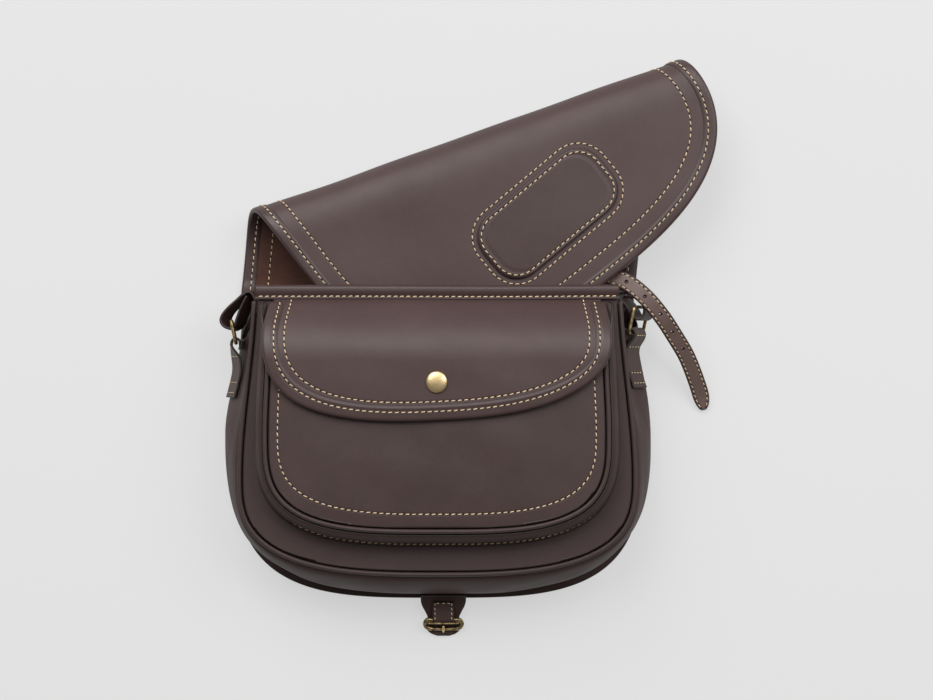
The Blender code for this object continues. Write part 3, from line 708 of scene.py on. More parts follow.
@dataclass(frozen=True)
class FleshSide:
    """The sueded back of leather: short fibres and cloudy colour."""

    name: str
    colour: Colour
    deep: Colour
    roughness: float = 0.92
    cloud_size: float = 14.0
    cloud_height: float = 0.1
    fibre_size: float = 0.55
    fibre_height: float = 0.12
    fibre_stretch: Point = (1.0, 0.35, 1.0)

    def make(self) -> bpy.types.Material:
        """Builds the material."""
        tree = Tree(self.name)
        spot = tree.place()
        cloud = tree.noise(spot, self.cloud_size, 5.0, 0.62)
        fibre = tree.noise(tree.stretched(spot, self.fibre_stretch), self.fibre_size, 3.0, 0.7)
        share = (cloud * 1.2 + fibre * 0.8 - 0.6).clamped()
        colour = tree.mixed(share, self.deep, self.colour)
        nap = tree.bump(fibre * self.fibre_height + cloud * self.cloud_height)
        return tree.finish(colour, self.roughness, 0.0, nap, Specular_IOR_Level=0.2,
                           Sheen_Weight=0.25)


@dataclass(frozen=True)
class CutEdge:
    """A painted and burnished cut edge: darker and a little uneven along its layers."""

    name: str
    colour: Colour
    dark: float = 0.7
    wear_size: float = 2.2
    wear_height: float = 0.12
    wear_rough: float = 0.2
    roughness: float = 0.4

    def make(self) -> bpy.types.Material:
        """Builds the material."""
        tree = Tree(self.name)
        spot = tree.place()
        worn = tree.noise(spot, self.wear_size, 4.0)
        colour = tree.mixed(worn, dimmed(self.colour, self.dark), self.colour)
        rough = worn * self.wear_rough + self.roughness
        return tree.finish(colour, rough, 0.0, tree.bump(worn * self.wear_height))


@dataclass(frozen=True)
class Thread:
    """Waxed thread: pale, a little uneven, twisted."""

    name: str
    colour: Colour
    deep: Colour
    roughness: float = 0.62
    tone_size: float = 2.6
    strand_size: float = 0.28
    strand_height: float = 0.06

    def make(self) -> bpy.types.Material:
        """Builds the material."""
        tree = Tree(self.name)
        spot = tree.place()
        tone = tree.noise(spot, self.tone_size, 3.0)
        strand = tree.noise(spot, self.strand_size, 2.0)
        colour = tree.mixed((tone * 1.4 - 0.2).clamped(), self.deep, self.colour)
        twist = tree.bump(strand * self.strand_height)
        return tree.finish(colour, self.roughness, 0.0, twist)


@dataclass(frozen=True)
class NeedleHoleShade:
    """Painted shade of a needle hole: a near-black colour."""

    name: str
    colour: Colour = (0.014, 0.009, 0.007)
    deep: Colour = (0.006, 0.004, 0.003)
    roughness: float = 0.9
    tone_size: float = 0.8

    def make(self) -> bpy.types.Material:
        """Builds the material."""
        tree = Tree(self.name)
        tone = tree.noise(tree.place(), self.tone_size)
        return tree.finish(tree.mixed(tone, self.deep, self.colour), self.roughness)


@dataclass(frozen=True)
class AgedBrass:
    """Brass with a patina that gathers in blots and leaves high spots bright."""

    name: str
    bright: Colour
    patina: Colour
    cover: float
    roughness: float
    blot_size: float = 3.4
    blot_height: float = 0.05
    speck_size: float = 0.7
    speck_height: float = 0.03
    speck_rough: float = 0.1
    patina_rough: float = 0.22
    contrast: float = 5.0

    def make(self) -> bpy.types.Material:
        """Builds the material."""
        tree = Tree(self.name)
        spot = tree.place()
        blots = tree.noise(spot, self.blot_size, 6.0, 0.65)
        specks = tree.noise(spot, self.speck_size, 3.0, 0.6)
        cloud = blots * 0.7 + specks * 0.3 - 0.5
        share = (cloud * self.contrast + self.cover).clamped()
        colour = tree.mixed(share, self.bright, self.patina)
        smooth = self.roughness - self.speck_rough / 2
        rough = share * self.patina_rough + specks * self.speck_rough + smooth
        pits = tree.bump(blots * self.blot_height + specks * self.speck_height)
        return tree.finish(colour, rough, 1.0, pits)


@dataclass(frozen=True)
class StudioPaper:
    """The pale paper that the bag lies on."""

    name: str
    shade: float
    glow: float
    tint: Colour = (1.0, 1.0, 1.005)
    dark: float = 0.97
    cloud_size: float = 400.0
    roughness: float = 0.9

    def make(self) -> bpy.types.Material:
        """Builds the material."""
        tree = Tree(self.name)
        cloud = tree.noise(tree.place(), self.cloud_size, 2.0)
        pale = dimmed(self.tint, self.shade)
        colour = tree.mixed(cloud, dimmed(pale, self.dark), pale)
        return tree.finish(colour, self.roughness, Specular_IOR_Level=0.2,
                           Emission_Color=(1.0, 1.0, 1.0, 1.0), Emission_Strength=self.glow)


class Finishes:
    """The bag's materials, made once and shared by its pieces."""

    def __init__(self) -> None:
        """Makes every material."""
        # The flap's leather is a lighter copy of the body's: painted light, as the flaps get more
        # light than the body.
        flap = SmoothLeather("flap_leather", (0.073, 0.041, 0.039), (0.054, 0.029, 0.028), 0.53)
        # Body and gusset leather take a strong edge_shade: painted shade in the grooves beside the
        # piping cords.
        body = SmoothLeather("body_leather", (0.060, 0.033, 0.031), (0.043, 0.023, 0.022), 0.53,
                             edge_shade=0.85)
        wall = SmoothLeather("gusset_leather", (0.060, 0.033, 0.030), (0.042, 0.022, 0.020), 0.6,
                             specular=0.3, edge_shade=0.85)
        # The trim leather is a lighter copy: painted highlight on the piping cords, bindings and
        # patch.
        trim = SmoothLeather("trim_leather", (0.076, 0.043, 0.040), (0.054, 0.030, 0.028),
                             0.43).make()
        strap = SmoothLeather("strap_leather", (0.070, 0.038, 0.032), (0.048, 0.025, 0.021), 0.5,
                              1.2, specular=0.35).make()
        # The closing strap's leather is a much lighter copy: painted light on the strap's top face.
        closing = SmoothLeather("closing_strap_leather", (0.165, 0.108, 0.095),
                                (0.118, 0.074, 0.064), 0.5, 1.2)
        suede = FleshSide("flesh_side", (0.120, 0.052, 0.036), (0.062, 0.028, 0.020)).make()
        edge = CutEdge("painted_edge", (0.034, 0.021, 0.018)).make()
        self.flap, self.body, self.wall, self.closing = (
            (leather.make(), suede, edge) for leather in (flap, body, wall, closing))
        self.lined = (trim, trim, edge)
        self.straps = (strap, strap, edge)
        self.sewing = (Thread("waxed_thread", (0.90, 0.72, 0.48), (0.62, 0.43, 0.24)).make(),
                       NeedleHoleShade("needle_hole_shade").make())
        old = AgedBrass("antique_brass", (0.56, 0.42, 0.20), (0.10, 0.075, 0.045), 0.45, 0.3)
        bright = AgedBrass("snap_brass", (0.86, 0.66, 0.36), (0.55, 0.40, 0.19), 0.2, 0.34)
        self.hardware, self.cap = ((brass.make(),) for brass in (old, bright))
        self.paper = StudioPaper("studio_paper", 0.22, 0.55).make()


# Faces that pieces are laid on


@dataclass(frozen=True)
class Relief:
    """A panel's middle surface: a height over the flat, and how to step off it.

    A point lifted off the surface moves along the normal (-dz/dx, -dz/dy, 1).
    """

    ripple: Ripple

    def level(self, x: Array, y: Array) -> Array:
        """Height of the middle surface."""
        raise NotImplementedError

    def bent(self, x: Array, y: Array) -> tuple[Array, Array]:
        """Where a flat point lies once the piece is laid in place."""
        return x, y

    def at(self, x: Array, y: Array, lift: Array | float) -> Array:
        """Points over flat places, lifted off the middle surface."""
        x, y = self.bent(np.asarray(x, float), np.asarray(y, float))
        step = 0.4
        dx = (self.level(x + step, y) - self.level(x - step, y)) / (2 * step)
        dy = (self.level(x, y + step) - self.level(x, y - step)) / (2 * step)
        normal = unit(np.stack([-dx, -dy, np.ones_like(dx)], axis=-1))
        return np.stack([x, y, self.level(x, y)], axis=-1) + normal * np.asarray(lift)[..., None]


def sheet_on(face: Face, flat: Array, thickness: float, marks: dict[str, Array],
             outside: float = 1.0) -> Shell:
    """A leather sheet on a face: the face at half its thickness to either side.

    Args:
        face: Gives points from flat x, flat y and a lift.
        flat: A grid of flat places.
        thickness: The leather's thickness.
        marks: The grid's attributes.
        outside: 1 where the grain faces the lift, -1 where it faces away.

    Returns:
        The closed sheet.
    """
    half = outside * thickness / 2
    x, y = flat[..., 0], flat[..., 1]
    return leaf(face(x, y, half), face(x, y, -half), marks)


@dataclass(frozen=True)
class Binding:
    """A strip folded over an edge: two leaves that thin towards their ends and a round nose.

    Its section is straight over the sheet, thins smoothly towards its cut end and turns
    through an ellipse round the sheet's edge.
    """

    sheet: float
    leaf_deep: float
    nose: float = 2.5
    skin: float = 0.9
    clear: float = 0.12
    end_skin: float = 0.2
    taper: float = 1.6

    def lifts(self) -> tuple[float, float]:
        """How far the strip's inner and outer faces are off the sheet's middle."""
        inner = self.sheet / 2 + self.clear
        return inner, inner + self.skin

    def section(self) -> tuple[Array, Array]:
        """Outer and inner sections: columns of depth from the sheet's edge and lift."""
        inner, outer = self.lifts()
        depth = self.leaf_deep * np.linspace(1.0, 0.0, 9)
        thin = smoothstep((self.leaf_deep - depth) / self.taper)
        top = inner + self.end_skin + (outer - inner - self.end_skin) * thin
        angle = np.linspace(math.pi / 2, -math.pi / 2, 13)[1:-1]
        bend_out = np.stack([-self.nose * np.cos(angle), outer * np.sin(angle)], axis=1)
        reach = self.nose - self.skin
        bend_in = np.stack([-reach * np.cos(angle), inner * np.sin(angle)], axis=1)
        straight = np.stack([depth, top], axis=1)
        level = np.stack([depth, np.full_like(depth, inner)], axis=1)
        outside = np.vstack([straight, bend_out, straight[::-1] * (1, -1)])
        return outside, np.vstack([level, bend_in, level[::-1] * (1, -1)])

    def shell(self, face: Face, edge: Array, stitch: float) -> Shell:
        """Carries the section along an edge that lies on a face.

        Args:
            face: Gives points from flat x, flat y and a lift.
            edge: The sheet's flat edge, from left to right under the panel.
            stitch: Depth of the stitch line, from the sheet's edge.

        Returns:
            The closed strip.
        """
        way = inward(edge)
        sections = self.section()
        grids = []
        for part in sections:
            flat = edge[None] + way[None] * part[:, 0, None, None]
            lift = np.broadcast_to(part[:, 1, None], flat.shape[:2])
            grids.append(face(flat[..., 0], flat[..., 1], lift))
        depth = np.broadcast_to(sections[0][:, 0, None], grids[0].shape[:2])
        marks = {"edge": self.leaf_deep - depth, "seam_a": depth - stitch}
        return leaf(grids[0], grids[1], marks, (Skin.GRAIN, Skin.GRAIN, Skin.EDGE))


# Stitching


@dataclass
class Stitching:
    """Runs of stitches: small arched capsules with a flat dark pit between each two, as painted
    shade of a needle hole.
    """

    long: float = 3.3
    pitch: float = 4.6
    radius: float = 0.42
    arch: float = 0.42
    sunk: float = 0.2
    # Size of the flat dark pit that paints a needle hole's shade.
    hole: Point = (0.75, 0.6, 0.14)
    slant: float = math.radians(7)
    sides: int = 6
    step: float = 1.2
    shells: list[Shell] = field(default_factory=list)

    def template(self) -> tuple[Array, Array, Array]:
        """One stitch's points (along, across, off), quads and fan triangles.

        At share s its radius is r times the root of 1 - |s| cubed and it arches by 1 - s squared.
        """
        share = np.array([-0.97, -0.75, -0.4, 0.0, 0.4, 0.75, 0.97])
        angle = np.linspace(0, 2 * math.pi, self.sides, endpoint=False)
        girth = self.radius * np.sqrt(1 - np.abs(share) ** 3)[:, None]
        along = np.repeat(share * self.long / 2, self.sides).reshape(len(share), self.sides)
        rise = (self.arch * (1 - share**2) - self.sunk)[:, None]
        grid = np.stack([along, girth * np.cos(angle), girth * np.sin(angle) + rise], axis=-1)
        solid = wrapped(grid)
        return solid.points, solid.faces[0], solid.faces[1]

    def pit(self) -> tuple[Array, Array]:
        """The painted shade of one needle hole: a flat double pyramid."""
        sides = self.sides
        along, across, deep = self.hole
        angle = np.linspace(0, 2 * math.pi, sides, endpoint=False)
        ring = np.stack([along * np.cos(angle), across * np.sin(angle), np.zeros(sides)], axis=1)
        points = np.vstack([ring, [[0, 0, deep], [0, 0, -deep]]])
        turn = np.arange(sides)
        ahead = np.roll(turn, -1)
        upper = np.stack([turn, ahead, np.full(sides, sides)], axis=1)
        lower = np.stack([ahead, turn, np.full(sides, sides + 1)], axis=1)
        return points, np.vstack([upper, lower])

    def run(self, path: Array, normal: Array) -> None:
        """Sews along a path.

        Args:
            path: Points of the stitch line on the leather's face.
            normal: The face's outward direction at each of them.
        """
        along = travelled(path)
        count = int(along[-1] // self.pitch)
        if count < 1:
            return
        pitch = along[-1] / count
        self.add(path, normal, along, pitch * (np.arange(count) + 0.5), self.template(), 0)
        # A flat dark pit at each needle hole, as painted shade.
        points, triangles = self.pit()
        pit = (points, np.empty((0, 4), int), triangles)
        self.add(path, normal, along, pitch * np.arange(count + 1), pit, 1)

    def add(self, path: Array, normal: Array, along: Array, at: Array,
            shape: tuple[Array, Array, Array], skin: int) -> None:
        """Repeats a small shape at distances along a path, squared to the path and its normal."""
        points, quads, triangles = shape
        spot = sample(path, along, at)
        near = self.step / 2
        ahead = unit(sample(path, along, at + near) - sample(path, along, at - near))
        off = unit(sample(normal, along, at))
        across = unit(np.cross(off, ahead))
        turn_x = ahead * math.cos(self.slant) + across * math.sin(self.slant)
        turn_y = across * math.cos(self.slant) - ahead * math.sin(self.slant)
        frames = np.stack([turn_x, turn_y, off], axis=1)
        laid = np.einsum("pk,nkc->npc", points, frames) + spot[:, None]
        start = (np.arange(len(at)) * len(points))[:, None, None]
        faces = [(part[None] + start).reshape(-1, part.shape[1]) for part in (quads, triangles)]
        skins = [np.full(len(face), skin) for face in faces]
        self.shells.append(Shell(laid.reshape(-1, 3), faces, skins).outward())

    def on_face(self, face: Face, line: Array, lift: float) -> None:
        """Sews along a flat line on a face, on the side that the lift is on."""
        line = even_points(line, max(int(travelled(line)[-1] / self.step), 3))
        side = math.copysign(0.5, lift)
        spots = face(line[:, 0], line[:, 1], lift)
        beyond = face(line[:, 0], line[:, 1], lift + side)
        self.run(spots, unit(beyond - spots))

    def finish(self, name: str, finishes: Finishes) -> None:
        """Makes the object from all runs."""
        place(make_object(name, self.shells, finishes.sewing), None)


# The body


# What the numbers of a gusset's row are, in their order
SECTION = ("z", "half_top", "half_wide", "low", "top", "power", "right_rise", "widest", "right_in")


def gusset_section(row: tuple[float, ...], count: int) -> Array:
    """The U of one row, whose right end may stand higher and further in than its left."""
    value = dict(zip(SECTION, row))
    edge = Outline(value["half_top"], value["half_wide"], value["top"], value["low"],
                   value["power"], value["widest"]).points(count)
    height = np.clip((edge[:, 1] - WIDEST_Y) / (value["top"] - WIDEST_Y), 0, 1)
    right = height * (edge[:, 0] > 0)
    edge[:, 0] -= value["right_in"] * right
    edge[:, 1] += value["right_rise"] * right
    return np.column_stack([edge, np.full(count, value["z"])])


def piping_cord(name: str, node: str, route: Array, height: float, radius: float,
                finishes: "Finishes") -> None:
    """Makes a leather-covered cord that runs level along a flat route."""
    path = np.column_stack([route, np.full(len(route), height)])
    made = make_object(name, [tube(path, radius, CORD_SIDES)], finishes.lined)
    place(made, Slot.TRIM, node)


@dataclass
class Gusset:
    """A wall through U-shaped sections, a row for each level, joined by smooth curves."""

    name: str
    node: str
    rows: Sequence[tuple[float, ...]]
    across: int
    down: int
    ripple: Ripple
    wall_tall: float = 60.0
    ripple_stretch: float = 2.2

    def middle(self) -> Array:
        """The middle surface: Catmull-Rom curves down the wall through every section."""
        sections = np.stack([gusset_section(row, self.across) for row in self.rows])
        tall = spline(sections.reshape(len(sections), -1), 12 * self.down)
        tall = tall.reshape(-1, self.across, 3)
        centre = tall[:, self.across // 2]
        along = travelled(centre)
        wanted = np.linspace(0, along[-1], self.down)
        pick = np.clip(np.searchsorted(along, wanted), 0, len(along) - 1)
        return tall[pick]

    def surface(self) -> tuple[Array, Array]:
        """Middle points, gently uneven, and the outward direction at each."""
        middle = self.middle()
        round_way = np.gradient(middle, axis=1)
        down_way = np.gradient(middle, axis=0)
        normal = unit(np.cross(round_way, down_way))
        away = np.array([0.0, -1.0, 0.0])
        if (normal[self.down // 2, self.across // 2] @ away) < 0:
            normal = -normal
        u = travelled(middle[self.down // 2])[None]
        v = np.linspace(0, self.wall_tall, self.down)[:, None]
        calm = np.sin(math.pi * np.linspace(0, 1, self.down))[:, None]
        rise = self.ripple.at(u, self.ripple_stretch * v) * calm
        return middle + normal * rise[..., None], normal

    def shell(self) -> Shell:
        """The closed wall."""
        middle, normal = self.surface()
        half = normal * THIN_LEATHER / 2
        down = travelled(middle[:, self.across // 2])[:, None]
        # The way to the wall's ends drives painted shade where the wall meets the piping and the
        # back panel.
        edge = np.minimum(down, down[-1] - down) + np.zeros(middle.shape[:2])
        return leaf(middle + half, middle - half, seam_marks(edge))

    def build(self, finishes: Finishes) -> None:
        """Makes the wall's object."""
        made = make_object(self.name, [self.shell()], finishes.wall)
        place(made, Slot.BODY, self.node)


@dataclass(frozen=True)
class FlatFace(Relief):
    """A level panel with a little unevenness that fades at its edge."""

    height: float
    half_wide: float = 140.0
    middle_y: float = 5.0
    half_tall: float = 110.0

    def level(self, x: Array, y: Array) -> Array:
        """The height and a ripple that fades towards the edge with the squares of x and y."""
        across = np.clip(1 - (x / self.half_wide) ** 2, 0, 1)
        down = np.clip(1 - ((y - self.middle_y) / self.half_tall) ** 2, 0, 1)
        calm = across * down
        return self.height + self.ripple.at(x, y) * calm


STILL = Ripple(3, 0.0, 70.0)

FRONT_EDGE = Outline(129.6, 140.3, MOUTH_Y, -91.5, 2.9, wide=-25.0)
BACK_EDGE = Outline(146.0, 152.8, MOUTH_Y, -117.0, 3.45)
GUSSET_FLANGE_SEAM = Outline(143.4, 150.2, MOUTH_Y, -111.8, 3.4)
POCKET_EDGE = Outline(117.4, 119.7, 74.0, -58.5, 3.3)
POCKET_SEAM = Outline(110.8, 112.9, 74.0, -48.4, 3.1)
POCKET_FLANGE_SEAM = Outline(125.2, 129.4, 88.0, -71.6, 3.2)
POCKET_FLAP_EDGE = Outline(117.6, 121.4, 110.6, 20.6, 2.6, wide=79.0)
FLAP_BAND_SEAM = Outline(111.7, 115.5, 110.6, 24.7, 2.6, wide=79.0)
FLAP_INNER_SEAM = Outline(104.3, 108.1, 110.6, 31.6, 2.6, wide=79.0)
FLAP_EDGE = Outline(144.3, 154.4, 12.0, -277.0, 2.75, wide=-168.0, bias=2.0)

MAIN_GUSSET = (
    (57.3, 131.1, 142.4, -94.0, 104.0, 2.95, 0.0, -25.0, 0.0),
    (54.6, 132.0, 145.4, -98.3, 101.0, 2.95, 1.0, -22.0, 0.0),
    (48.0, 132.2, 148.4, -102.6, 93.0, 2.95, 4.0, -14.0, 8.0),
    (38.0, 137.0, 151.8, -106.6, 82.0, 3.0, 8.0, -4.0, 9.5),
    (28.0, 141.5, 154.8, -109.6, 76.0, 3.0, 8.0, 4.0, 4.0),
    (18.0, 145.3, 156.3, -111.4, 77.0, 2.95, 8.0, 8.0, -1.0),
    (9.0, 143.4, 153.5, -110.6, 88.0, 3.2, 4.0, 8.0, -2.5),
    (4.8, 140.5, 148.5, -108.5, 98.0, 3.3, 0.0, 8.0, 0.0),
    (3.3, 145.8, 152.8, -117.0, 100.0, 3.45, 0.0, 8.0, 0.0),
)
POCKET_GUSSET = (
    (61.2, 126.8, 131.2, -73.4, 103.0, 3.2, 0.0, 8.0, 0.0),
    (62.0, 124.2, 127.6, -69.6, 103.0, 3.2, 0.0, 8.0, 0.0),
    (67.5, 125.4, 129.3, -69.8, 101.5, 3.2, 0.0, 8.0, 0.0),
    (75.0, 124.8, 128.6, -68.4, 95.0, 3.2, 0.0, 8.0, 0.0),
    (80.6, 123.4, 126.2, -65.8, 84.0, 3.25, 0.0, 8.0, 0.0),
    (82.7, 121.6, 123.8, -63.0, 76.0, 3.3, 0.0, 8.0, 0.0),
)


@dataclass
class Body:
    """Back and front panel, main gusset, the piping in the front seam and the mouth's binding.

    The mouth's binding has its own line at the mouth. Its profile is its upper face, as depth
    from that line and height over it; the nose and the hollow are the half axes of ellipses,
    the waves the heights and lengths of the slow sines that it follows along the bag.
    """

    back_z: float = 1.0
    front_z: float = 59.0
    piping_radius: float = 1.7
    piping_off: float = 2.2
    piping_rise: float = 0.45
    piping_top: float = 103.0
    flange_z: float = 3.3
    flange_top: float = 98.0
    back_flange_seam: float = 3.6
    binding_half: float = 130.8
    binding_y: float = 112.4
    binding_z: float = 60.05
    binding_profile: Sequence[Flat] = (
        (8.0, 2.55),
        (7.4, 2.85),
        (6.6, 2.95),
        (5.7, 2.8),
        (4.9, 3.0),
        (4.0, 3.4),
        (3.0, 3.75),
        (2.0, 3.95),
        (1.0, 4.0),
        (0.0, 3.9),
    )
    binding_nose: Flat = (2.7, 3.9)
    binding_hollow: Flat = (1.6, 2.4)
    binding_inner: float = 2.35
    binding_sag: float = 0.3
    binding_wave_y: Flat = (0.15, 31.0)
    binding_wave_z: Flat = (0.25, 43.0)
    binding_seam: float = 5.7
    binding_seam_lift: float = 2.85
    binding_seam_end: float = 1.5

    def build(self, finishes: Finishes) -> None:
        """Builds the five pieces and their stitches."""
        sewing = Stitching()
        back = FlatFace(Ripple(3, 0.12, 70.0), self.back_z)
        front = FlatFace(Ripple(5, 0.2, 60.0), self.front_z)
        self.panel("back_panel", back, BACK_EDGE, finishes)
        self.panel("front_panel", front, FRONT_EDGE, finishes)
        gusset = Gusset("main_gusset_wall", "main_gusset", MAIN_GUSSET, 420, 52,
                        Ripple(11, 0.3, 50.0))
        gusset.build(finishes)
        route = FRONT_EDGE.grown(self.piping_off).points(460, below=self.piping_top)
        piping_cord("front_piping_cord", "front_piping", route, self.front_z + self.piping_rise,
                    self.piping_radius, finishes)
        self.mouth_binding(finishes, sewing)
        flange = inset(BACK_EDGE.points(500, below=self.flange_top), self.back_flange_seam)
        sewing.on_face(back.at, flange, -LEATHER / 2)
        level = FlatFace(STILL, self.flange_z)
        over = GUSSET_FLANGE_SEAM.points(500, below=self.flange_top)
        sewing.on_face(level.at, over, THIN_LEATHER / 2)
        sewing.finish("body_stitches", finishes)

    def panel(self, node: str, face: FlatFace, outline: Outline, finishes: Finishes) -> None:
        """A flat panel cut to its outline."""
        flat = coons_grid(outline.dense(), 130, 100)
        marks = seam_marks(nearest(flat, outline.points(900)))
        shell = sheet_on(face.at, flat, LEATHER, marks)
        place(make_object(f"{node}_leather", [shell], finishes.body), Slot.BODY, node)

    def mouth_point(self, x: Array, depth: Array | float, off: Array | float) -> Array:
        """A point of the mouth's binding: it sags by a cosine and a slow sine along the bag."""
        in_y, long_y = self.binding_wave_y
        in_z, long_z = self.binding_wave_z
        sag = self.binding_sag * np.cos(x / self.binding_half * math.pi / 2)
        y = self.binding_y - depth - (sag + in_y * np.sin(x / long_y))
        return np.stack([x, y, self.binding_z + off + in_z * np.sin(x / long_z)], axis=-1)

    def binding_section(self) -> tuple[Array, Array]:
        """Outer and inner sections of the mouth's binding: columns of depth and height."""
        angle = np.linspace(math.pi / 2, -math.pi / 2, 17)[1:-1]
        arc = np.column_stack([-np.cos(angle), np.sin(angle)])
        upper = np.array(self.binding_profile)
        hollow = np.column_stack([upper[:, 0], np.full(len(upper), self.binding_inner)])
        outer = np.vstack([upper, arc * self.binding_nose, upper[::-1] * (1, -1)])
        return outer, np.vstack([hollow, arc * self.binding_hollow, hollow[::-1] * (1, -1)])

    def mouth_binding(self, finishes: Finishes, sewing: Stitching) -> None:
        """The strip folded over the front panel's top edge, with its one line of stitches."""
        outer, inner = self.binding_section()
        x = np.linspace(-self.binding_half, self.binding_half, 220)[None]
        upper, lower = (self.mouth_point(*np.broadcast_arrays(x, part[:, :1], part[:, 1:]))
                        for part in (outer, inner))
        depth = np.broadcast_to(outer[:, :1], upper.shape[:2])
        marks = {"edge": outer[0, 0] - depth, "seam_a": depth - self.binding_seam}
        shell = leaf(upper, lower, marks, (Skin.GRAIN, Skin.GRAIN, Skin.EDGE))
        place(make_object("mouth_binding", [shell], finishes.lined), Slot.TRIM, "front_binding")
        end = self.binding_half - self.binding_seam_end
        line = np.linspace(-end, end, 240)
        path = self.mouth_point(line, self.binding_seam, self.binding_seam_lift)
        sewing.run(path, np.tile(UP, (len(path), 1)))


# The front pocket and its flap


@dataclass(frozen=True)
class PocketFront(Relief):
    """The pocket's front, a low cushion shape."""

    height: float = 83.2
    dome: float = 2.4
    half_wide: float = 119.7
    half_tall: float = 66.5
    middle_y: float = 8.0
    fall: float = 2.6
    crown: float = 0.8

    def level(self, x: Array, y: Array) -> Array:
        """A dome: 1 - |x| to a power times 1 - |y| to it, the product to a power below one."""
        across = np.clip(1 - (np.abs(x) / self.half_wide) ** self.fall, 0, 1)
        down = np.clip(1 - (np.abs(y - self.middle_y) / self.half_tall) ** self.fall, 0, 1)
        calm = (across * down) ** self.crown
        return self.height + self.dome * calm + self.ripple.at(x, y) * calm


@dataclass(frozen=True)
class PocketFlapFace(Relief):
    """The pocket flap: it climbs from the mouth's binding over the pocket, then lies on it."""

    root: float = 61.2
    height: float = 88.5
    dome: float = 1.8
    slope_start: float = 104.0
    slope_end: float = 60.0
    slope_power: float = 2.3
    slope_soft: float = 4.0
    skew_from: float = 79.0
    skew_over: float = 50.0
    skew: float = 0.045
    half_wide: float = 121.4
    half_tall: float = 60.0
    middle_y: float = 55.0

    def bent(self, x: Array, y: Array) -> tuple[Array, Array]:
        """The hem rises to the right."""
        return x, y + self.skew * x * smoothstep((self.skew_from - y) / self.skew_over)

    def level(self, x: Array, y: Array) -> Array:
        """A climb of 1 - (1 - s) to a power, then a dome that falls with the squares of x and y."""
        share = (self.slope_start - y) / (self.slope_start - self.slope_end)
        climb = 1 - (1 - np.clip(share, 0, 1)) ** self.slope_power
        climb = climb * smoothstep((self.slope_start - y) / self.slope_soft + 0.5)
        across = np.clip(1 - (x / self.half_wide) ** 2, 0, 1)
        down = np.clip(1 - (np.abs(y - self.middle_y) / self.half_tall) ** 2, 0, 1)
        dome = self.dome * across * down * climb
        rise = (self.height - self.root) * climb
        return self.root + rise + dome + self.ripple.at(x, y) * down * across


